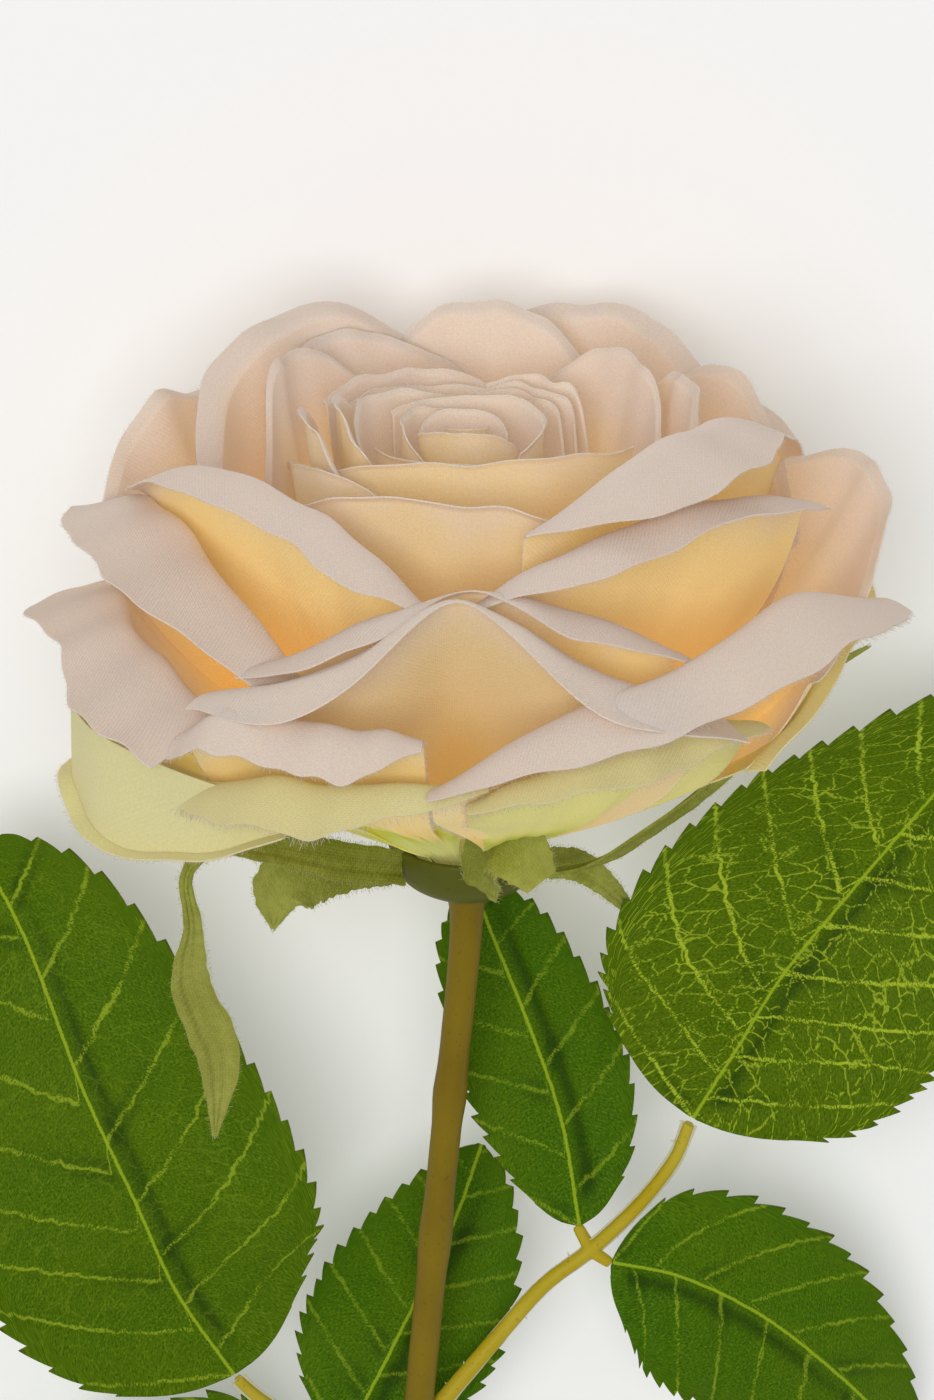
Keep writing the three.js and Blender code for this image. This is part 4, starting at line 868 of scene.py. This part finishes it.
# %% The sprays
TIP_GAP = 1.1
STEM_RADIUS, STEM_TOP_RADIUS, STEM_FLARE, STALK_RADIUS, STALK_TIP_RADIUS = 1.95, 3.0, 16.0, 1.1, 0.8
STEM_LENGTH = 268
stem_line = np.array([[0, 0, 0], [-0.4, -10, 0], [-2.9, -37, 0], [-6.7, -79, 0], [-10.4, -125, 0],
                      [-13.4, -190, 0], [-15, -STEM_LENGTH, 0]], float) - [0, 0.3, 0]
fine_stem = smooth_through(stem_line, np.linspace(0, 1, 4000))
SPRAYS = [
    ("stalk_right", -81.5, 120,
     [[0, 0, 0], [8.4, 10, -3.2], [14.7, 17.3, -4.4], [21.3, 22.6, -5.2], [27.8, 30, -4.4],
      [32.5, 37.5, -3.2], [34.6, 43.7, -2.4]],
     [[[21.3, 22.6, -5.2], [20.5, 23.5, -6], [19.8, 24.5, -6.8]],
      [[21.3, 22.6, -5.2], [22.2, 21.6, -5.3], [23.2, 20.8, -5.4]]],
     [("leaflet_right_end", 48, 21, 1.35, 0.9, 1.0, -4,
       [[6, 10.8, -0.3], [12, 21.8, -0.3], [21.4, 33.8, -2.3], [30.8, 43.3, -7.8], [45.8, 55.8, -20.8]]),
      ("leaflet_right_back", 22, 15, 1.15, 0.15, 0.4, 6,
       [[-2.5, 14.7, -2.8], [-6.8, 27.8, -4.8], [-12.1, 41.2, -7.3], [-14.9, 48.2, -9.3]]),
      ("leaflet_right_low", 30, 16, 1.35, 0.2, 0.45, 4,
       [[9.8, -2.7, -0.6], [20.8, -9.7, -2.6], [31.3, -20.2, -5.6], [42.8, -35.7, -12.6]])]),
    ("stalk_left", -108, -132,
     [[0, 0, 0], [-3.8, 7, -3.2], [-8.4, 15, -4.6], [-13.3, 22, -4.2], [-18, 27.2, -2.4],
      [-20.4, 30.4, -1.2]],
     [[[-8.4, 15, -4.6], [-7.2, 16, -5.4], [-6, 17, -6.2]],
      [[-8.4, 15, -4.6], [-9.6, 14.4, -4.8], [-10.8, 13.8, -5]]],
     [("leaflet_left_end", 48, 21, 1.3, 0.55, 0.55, 4,
       [[-7.6, 13.8, 1.8], [-13, 28.3, 2.8], [-20.2, 45.3, 0.8], [-27.8, 64.3, -6.2], [-35.3, 74.8, -16.2]]),
      ("leaflet_left_back", 27, 16, 1.2, 0.1, 0.35, -5,
       [[5.1, 9.9, -2.2], [10.2, 20.4, -4.2], [15.4, 31.4, -6.2], [19.2, 41.9, -9.2]]),
      ("leaflet_left_low", 30, 16, 1.3, 0.3, 0.5, -4,
       [[-10.1, -1.9, -0.9], [-21.1, -8.9, -2.9], [-31.1, -19.4, -5.9], [-40.1, -34.4, -12.9]])]),
]


def stem_seat(height, azimuth, out):
    centre = fine_stem[np.argmin(np.abs(fine_stem[:, 1] - height))]
    return centre + out * np.array([math.sin(math.radians(azimuth)), 0, math.cos(math.radians(azimuth))])


spray_lines, leaf_order = {}, 0
for name, height, azimuth, path, twigs, leaflets in SPRAYS:
    seat = stem_seat(height, azimuth, STEM_RADIUS + 0.3 + STALK_RADIUS)
    lines = [seat + np.array(steps, float) for steps in [path, *twigs]]
    spray_lines[name] = (height, azimuth, lines)
    for line, (leaf, width, teeth, depth, olive, boldness, twist, steps) in zip(lines, leaflets):
        base = line[-1] + unit(np.array(steps[0], float)) * TIP_GAP
        points = base + np.array([[0, 0, 0], *steps], float)
        grid, marks, rib = leaflet_grid(900 + leaf_order * 7, width, points, (0, 0.15, 1), teeth, depth, olive,
                                        boldness, twist)
        piece = shell(leaf + "_cloth", grid, LEAF_THICKNESS, marks, lift_back=rib)
        piece.data.materials.append(leaf_cloth)
        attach(piece, "root")
        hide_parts(leaf)
        leaf_order += 1
print(leaf_order, "leaflets")

# %% [markdown]
# ## Moulded plastic
# The hip, stem and stalks are soft plastic moulded over wire. Their colour drifts from olive to brown along
# them, with fine dark specks from the pigment, and their skin has a faint orange peel that breaks the shine.
# One group holds that look, and each finish gives it its own colours.

# %% The moulded plastic group
skin, given, made = new_group(
    "moulded skin",
    [("Place", "Vector", None), ("Main", "Color", None), ("Drift", "Color", None), ("Speck", "Color", None)],
    [("Colour", "Color"), ("Roughness", "Float"), ("Height", "Float")])
slow = noise(skin, given["Place"], 55.0, 4.0)
colour = blend_colours(skin, fade(skin, slow, 0.35, 0.65), given["Main"], given["Drift"])
dots = fade(skin, noise(skin, given["Place"], 1500.0, 2.0), 0.62, 0.72)
colour = blend_colours(skin, calc(skin, "MULTIPLY", dots, 0.5), colour, given["Speck"])
skin.links.new(colour, made["Colour"])
skin.links.new(fade(skin, slow, 0.3, 0.7, 0.42, 0.58), made["Roughness"])
skin.links.new(noise(skin, given["Place"], 900.0, 3.0), made["Height"])


def plastic(name, main, drift, speck, glow=0.05):
    material, tree, shader = new_finish(name)
    place = tree.nodes.new("ShaderNodeTexCoord").outputs["Object"]
    look = use_group(tree, skin, Place=place, Main=main, Drift=drift, Speck=speck)
    bump = add_node(tree, "ShaderNodeBump", Strength=0.25, Distance=0.0001, Height=look["Height"])
    wire(tree, shader, Base_Color=look["Colour"], Roughness=look["Roughness"], Normal=bump.outputs[0],
         Specular_IOR_Level=0.15, Subsurface_Weight=glow, Subsurface_Radius=(1.0, 0.7, 0.2),
         Subsurface_Scale=0.001)
    return material


hip_plastic = plastic("dark olive plastic", (0.095, 0.105, 0.008, 1), (0.135, 0.14, 0.014, 1),
                      (0.05, 0.06, 0.01, 1))
stem_plastic = plastic("olive brown plastic", (0.19, 0.125, 0.004, 1), (0.225, 0.155, 0.006, 1),
                       (0.12, 0.09, 0.02, 1))
stalk_plastic = plastic("yellow olive plastic", (0.45, 0.34, 0.008, 1), (0.50, 0.40, 0.03, 1),
                        (0.30, 0.22, 0.01, 1), glow=0.12)
flash_plastic = plastic("thin flash", (0.62, 0.58, 0.36, 1), (0.66, 0.63, 0.45, 1), (0.5, 0.45, 0.25, 1),
                        glow=0.3)
wire_metal, tree, shader = new_finish("drawn wire")
scratches = add_node(tree, "ShaderNodeTexNoise", Vector=tree.nodes.new("ShaderNodeTexCoord").outputs["Object"],
                     Scale=2500.0).outputs["Fac"]
wire(tree, shader, Roughness=fade(tree, scratches, 0.3, 0.7, 0.3, 0.6), Base_Color=(0.42, 0.41, 0.40, 1),
     Metallic=1.0)

# %% [markdown]
# ## Hip
# The hip is a shallow turned cup. Its outline is drawn once, through smoothed points, and spun round the
# bloom's axis. Its wall waves a little, as soft plastic does.

# %% Make the hip


def spun(name, outline, sides=96, wave=0.0):
    """A closed body turned round the bloom's axis. The outline starts and ends on the axis."""
    outline = np.array(outline, float)
    turns = np.linspace(0, 2 * math.pi, sides, endpoint=False)
    inner = outline[1:-1]
    swell = 1 + wave * ripples(5, turns / (2 * math.pi), [3, 5])[:, None]
    ring = np.stack([inner[None, :, 0] * swell * np.sin(turns)[:, None],
                     np.broadcast_to(inner[:, 1], (sides, len(inner))),
                     inner[None, :, 0] * swell * np.cos(turns)[:, None]], -1)
    points = np.vstack([[[0, outline[0, 1], 0]], [[0, outline[-1, 1], 0]], ring.reshape(-1, 3)])
    rows = len(inner)
    faces = []
    for side in range(sides):
        a, b = 2 + side * rows, 2 + (side + 1) % sides * rows
        faces += [(a + k, b + k, b + k + 1, a + k + 1) for k in range(rows - 1)]
        faces += [(0, b, a), (1, a + rows - 1, b + rows - 1)]
    mesh = bpy.data.meshes.new(name)
    mesh.from_pydata(laid(points).tolist(), [], faces)
    mesh.shade_smooth()
    return placed(name, mesh)


# Each point is a distance from the axis and a height above the foot.
HIP_OUTSIDE = [[3.4, 0], [6.6, 0.8], [9.3, 3.2], [10.8, 7.9]]
HIP_RIM = [[10.55, 8.05], [10.05, 8.05]]
HIP_INSIDE, HIP_FLOOR = [[9.8, 7.9], [8.0, 4.6], [3.4, 1.3]], 1.25
outer = smooth_through(HIP_OUTSIDE, np.linspace(0, 1, 20))
inner = smooth_through(HIP_INSIDE, np.linspace(0, 1, 14))
hip = spun("hip_cup", [[0, 0], *outer, *HIP_RIM, *inner, [0, HIP_FLOOR]], wave=0.012)
hip.data.materials.append(hip_plastic)
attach(hip, "root")
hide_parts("hip")

# %% [markdown]
# ## Stem
# The stem is one long rod that flares under the hip. A two-part mould leaves a fine line along each side, and
# the sleeve swells a little where a spray joins it. Its cut end shows the wire inside.

# %% Make the stem


def rod(name, line, radius_at, sides, steps, seam=0.0, rough=0.0, seed=0):
    """A closed rod along a smooth line. seam is how far the mould line stands out, as a share of the radius."""
    share = np.linspace(0, 1, steps)
    centre = smooth_through(line, share)
    tangent = unit(np.gradient(centre, axis=0))
    across = unit(np.cross(tangent, [0, 0, 1]))
    over = np.cross(across, tangent)
    angle = np.linspace(0, 2 * math.pi, sides, endpoint=False)
    radius = np.array([radius_at(s) for s in share])[:, None]
    profile = 1 + seam * np.exp(-(np.abs(np.sin(angle)) / 0.12) ** 2)
    radius = radius * profile[None, :] * (1 + rough * ripples(seed, share, [5, 9, 17, 31])[:, None])
    ring = (centre[:, None] + across[:, None] * (radius * np.cos(angle))[..., None]
            + over[:, None] * (radius * np.sin(angle))[..., None])
    points = np.vstack([centre[:1], centre[-1:], ring.reshape(-1, 3)])
    index = 2 + np.arange(steps * sides).reshape(steps, sides)
    after = np.roll(index, -1, axis=1)
    walls = np.stack([index[:-1], index[1:], after[1:], after[:-1]], -1).reshape(-1, 4)
    faces = [*walls.tolist(), *[(0, int(a), int(b)) for a, b in zip(index[0], after[0])],
             *[(1, int(b), int(a)) for a, b in zip(index[-1], after[-1])]]
    mesh = bpy.data.meshes.new(name)
    mesh.from_pydata(laid(points).tolist(), [], faces)
    mesh.shade_smooth()
    mesh.set_sharp_from_angle(angle=PLASTIC_CORNER)
    return placed(name, mesh)


STEM_SWELL, SWELL_REACH, STEM_TAPER, TAPER_REACH, WIRE_RADIUS = 0.28, 4.5, 0.5, 28, 0.62


def stem_radius_at(share):
    """Its plain radius, wider under the hip, tapering from the top, and swollen at each spray."""
    down = share * STEM_LENGTH
    flare = max(0.0, 1 - down / STEM_FLARE) ** 2
    swell = sum(STEM_SWELL * math.exp(-((down + height + 0.5) / SWELL_REACH) ** 2) for _, height, *_ in SPRAYS)
    taper = STEM_TAPER * math.exp(-down / TAPER_REACH)
    return STEM_RADIUS + (STEM_TOP_RADIUS - STEM_RADIUS) * 0.6 * flare + taper + swell


stem = rod("stem_rod", stem_line, stem_radius_at, 40, 300, seam=0.045, rough=0.006, seed=41)
stem.data.materials.append(stem_plastic)
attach(stem, "root")
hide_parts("stem")
end_way = unit(fine_stem[-1] - fine_stem[-40])
wire_end = [fine_stem[-1] + end_way * past for past in (-3, -1, 0.35)]
wire_piece = rod("stem_wire_end", wire_end, lambda share: WIRE_RADIUS, 20, 6)
wire_piece.data.materials.append(wire_metal)
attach(wire_piece, "root")

# %% [markdown]
# ## Leaf stalks
# Each stalk is moulded in one with its two twigs. The rods are joined by a fine voxel remesh and smoothed, so
# the fork flows as moulded plastic does. Thin flash stands along both sides where the mould halves met: a
# Geometry Nodes tree sweeps a flat strip of wandering width along the stalk's main line and adds a few small
# barbs.

# %% The flash tree
flash_tree, flash_sockets, given, made = new_tree(
    "mould flash", [("Width", "Float"), ("Barb spacing", "Float"), ("Barb length", "Float"), ("Seed", "Int"),
                    ("Finish", "Material")])
line = add_node(flash_tree, "GeometryNodeMeshToCurve", Mesh=given["Geometry"])
line = add_node(flash_tree, "GeometryNodeResampleCurve", {"mode": "LENGTH"}, Curve=line.outputs[0], Length=0.0008)
where = flash_tree.nodes.new("GeometryNodeInputPosition").outputs[0]
uneven = calc(flash_tree, "MULTIPLY_ADD", noise(flash_tree, where, 160.0, 2.0), 0.35, 0.83)
width = calc(flash_tree, "MULTIPLY", given["Width"], uneven)
strip = add_node(flash_tree, "GeometryNodeCurvePrimitiveQuadrilateral", Width=1.0, Height=0.05)
fin = add_node(flash_tree, "GeometryNodeCurveToMesh", Curve=line.outputs[0], Profile_Curve=strip.outputs[0],
               Scale=width, Fill_Caps=True)
spots = add_node(flash_tree, "GeometryNodeResampleCurve", {"mode": "LENGTH"}, Curve=line.outputs[0],
                 Length=given["Barb spacing"])
chance = random_of(flash_tree, "BOOLEAN", given["Seed"], Probability=0.6)[3]
cone = add_node(flash_tree, "GeometryNodeMeshCone", Vertices=5, Radius_Bottom=0.35, Depth=1.0)
tilt = random_of(flash_tree, "FLOAT_VECTOR", given["Seed"], _0=(-0.4, -0.4, -0.4), _1=(0.4, 0.4, 0.4))[0]
left_or_right = random_of(flash_tree, "INT", given["Seed"], _4=0, _5=1)[2]
sign = calc(flash_tree, "MULTIPLY_ADD", left_or_right, 2.0, -1.0)
tangent = flash_tree.nodes.new("GeometryNodeInputTangent").outputs[0]
sideways = vector_calc(flash_tree, "CROSS_PRODUCT", tangent, (0.0, 0.0, 1.0))
sideways = vector_calc(flash_tree, "SCALE", sideways, sign)
aim = turned_to(flash_tree, vector_calc(flash_tree, "ADD", sideways, tilt))
barb_size = random_of(flash_tree, "FLOAT", given["Seed"], _2=0.5, _3=1.0)[1]
barb_size = calc(flash_tree, "MULTIPLY", barb_size, given["Barb length"])
push = vector_calc(flash_tree, "SCALE", sideways, calc(flash_tree, "MULTIPLY", given["Width"], 0.42))
moved = add_node(flash_tree, "GeometryNodeSetPosition", Geometry=spots.outputs[0], Offset=push)
barbs = add_node(flash_tree, "GeometryNodeInstanceOnPoints", Points=moved.outputs[0], Selection=chance,
                 Instance=cone.outputs[0], Rotation=aim, Scale=barb_size)
both = add_node(flash_tree, "GeometryNodeJoinGeometry")
flash_tree.links.new(fin.outputs[0], both.inputs[0])
flash_tree.links.new(barbs.outputs[0], both.inputs[0])
real = add_node(flash_tree, "GeometryNodeRealizeInstances", Geometry=both.outputs[0])
real = add_node(flash_tree, "GeometryNodeSetMaterial", Geometry=real.outputs[0], Material=given["Finish"])
flash_tree.links.new(real.outputs[0], made[0])

# %% Make the stalks


def joined(name, pieces):
    with bpy.context.temp_override(active_object=pieces[0], selected_editable_objects=pieces):
        bpy.ops.object.join()
    pieces[0].name = pieces[0].data.name = name
    return pieces[0]


for order, (name, (height, azimuth, lines)) in enumerate(spray_lines.items()):
    root = stem_seat(height - 1.6, azimuth, STEM_RADIUS * 0.5)
    main = np.vstack([root, lines[0][1:]])
    heel = [stem_seat(height - 4.5, azimuth, STEM_RADIUS * 0.75), root, lines[0][0] + [0, 1.5, 0]]
    rods = [rod(name + "_rod", main, lambda s: STALK_RADIUS * (1.12 - 0.38 * s), 20, 90, rough=0.02, seed=order)]
    rods.append(rod(name + "_heel", heel, lambda s: STALK_RADIUS * (0.5 + 0.9 * math.sin(math.pi * s)), 16, 24))
    for k, line in enumerate(lines[1:]):
        onward = np.vstack([line, line[-1] + unit(line[-1] - line[-2]) * 0.9])
        rods.append(rod(f"{name}_twig_{k}", onward, lambda s: STALK_TIP_RADIUS * (1.25 - 0.25 * s), 16, 24))
    piece = joined(name + "_plastic", rods)
    remesh = piece.modifiers.new("flow together", "REMESH")
    remesh.mode, remesh.voxel_size = "VOXEL", 0.00026
    smooth = piece.modifiers.new("soften", "SMOOTH")
    smooth.factor, smooth.iterations = 0.5, 4
    made_plain(piece)
    piece.data.shade_smooth()
    piece.data.materials.clear()
    piece.data.materials.append(stalk_plastic)
    flash = bpy.data.meshes.new(name + "_flash")
    path = smooth_through(lines[0], np.linspace(0, 1, 80))
    flash.from_pydata(laid(path).tolist(), [(i, i + 1) for i in range(len(path) - 1)], [])
    flash_piece = placed(name + "_flash", flash)
    run_tree(flash_piece, flash_tree, flash_sockets, {
        "Width": 2.35 * MM, "Barb spacing": 3.4 * MM, "Barb length": 0.9 * MM, "Seed": order,
        "Finish": flash_plastic})
    for part in (piece, flash_piece):
        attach(part, "root")
    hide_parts(name)
    print(name, len(piece.data.polygons), "faces")

# %% [markdown]
# ## Floor, light and camera
# The rose lies on a plain near-white floor under soft studio light. A bright even sky does most of the work,
# as a light tent does, and one large soft lamp near the camera fills the folds. The floor is a lit table: it
# gives out a little light of its own, which keeps shadows pale.

# %% Floor and light
FLOOR_GREY, FLOOR_LIGHT, SKY_LIGHT = (0.78, 0.78, 0.78), 0.2, 0.4
LAMP_LIGHT, LAMP_SPREAD, LAMP_FROM = 1.6, math.radians(36), (-0.12, 0.3, 0.95)
scene = bpy.context.scene
scene.view_settings.view_transform = "Standard"
floor_mesh = bpy.data.meshes.new("floor")
floor_mesh.from_pydata([(-6, -6, 0), (6, -6, 0), (6, 6, 0), (-6, 6, 0)], [], [(0, 1, 2, 3)])
floor = placed("floor", floor_mesh)
floor_paint, tree, shader = new_finish("pale floor")
wire(tree, shader, Base_Color=(*FLOOR_GREY, 1), Emission_Color=(1.0, 1.0, 1.0, 1),
     Emission_Strength=FLOOR_LIGHT, Roughness=0.9, Specular_IOR_Level=0.0)
floor_mesh.materials.append(floor_paint)

sky = bpy.data.worlds.new("light tent")
scene.world = sky
sky.use_nodes = True
wire(sky.node_tree, sky.node_tree.nodes["Background"], Color=(1.0, 1.0, 1.0, 1), Strength=SKY_LIGHT)

lamp_data = bpy.data.lights.new("big soft lamp", "SUN")
lamp_data.energy, lamp_data.angle = LAMP_LIGHT, LAMP_SPREAD
lamp = placed("big soft lamp", lamp_data)
lamp_way = Vector(turn @ unit(np.array(LAMP_FROM)))
lamp.rotation_euler = lamp_way.to_track_quat("Z", "Y").to_euler()

# %% [markdown]
# The camera looks down on the rose from the side its face turns to, 24 degrees above the plane square to the
# bloom's axis, through a long lens a metre away, so that near and far petals keep their true sizes.

# %% Camera
CAMERA_RISE, CAMERA_DISTANCE, AIM_HEIGHT = math.radians(24), 1000.0, 25.4
LENS, SENSOR_WIDTH = 190.3, 36.0
towards_camera = np.array([0, math.sin(CAMERA_RISE), math.cos(CAMERA_RISE)])
camera_up = np.array([0, math.cos(CAMERA_RISE), -math.sin(CAMERA_RISE)])
camera_data = bpy.data.cameras.new("camera")
camera_data.lens, camera_data.sensor_width = LENS, SENSOR_WIDTH
camera_data.clip_start, camera_data.clip_end = 0.01, 50.0
camera = placed("camera", camera_data)
back, up = Vector(turn @ towards_camera), Vector(turn @ camera_up)
turned = Matrix((up.cross(back), up, back)).transposed().to_4x4()
stand = Vector(laid([camera_up * AIM_HEIGHT + towards_camera * CAMERA_DISTANCE])[0])
camera.matrix_world = Matrix.Translation(stand) @ turned
scene.camera = camera

# %% Finish
bpy.context.view_layer.update()
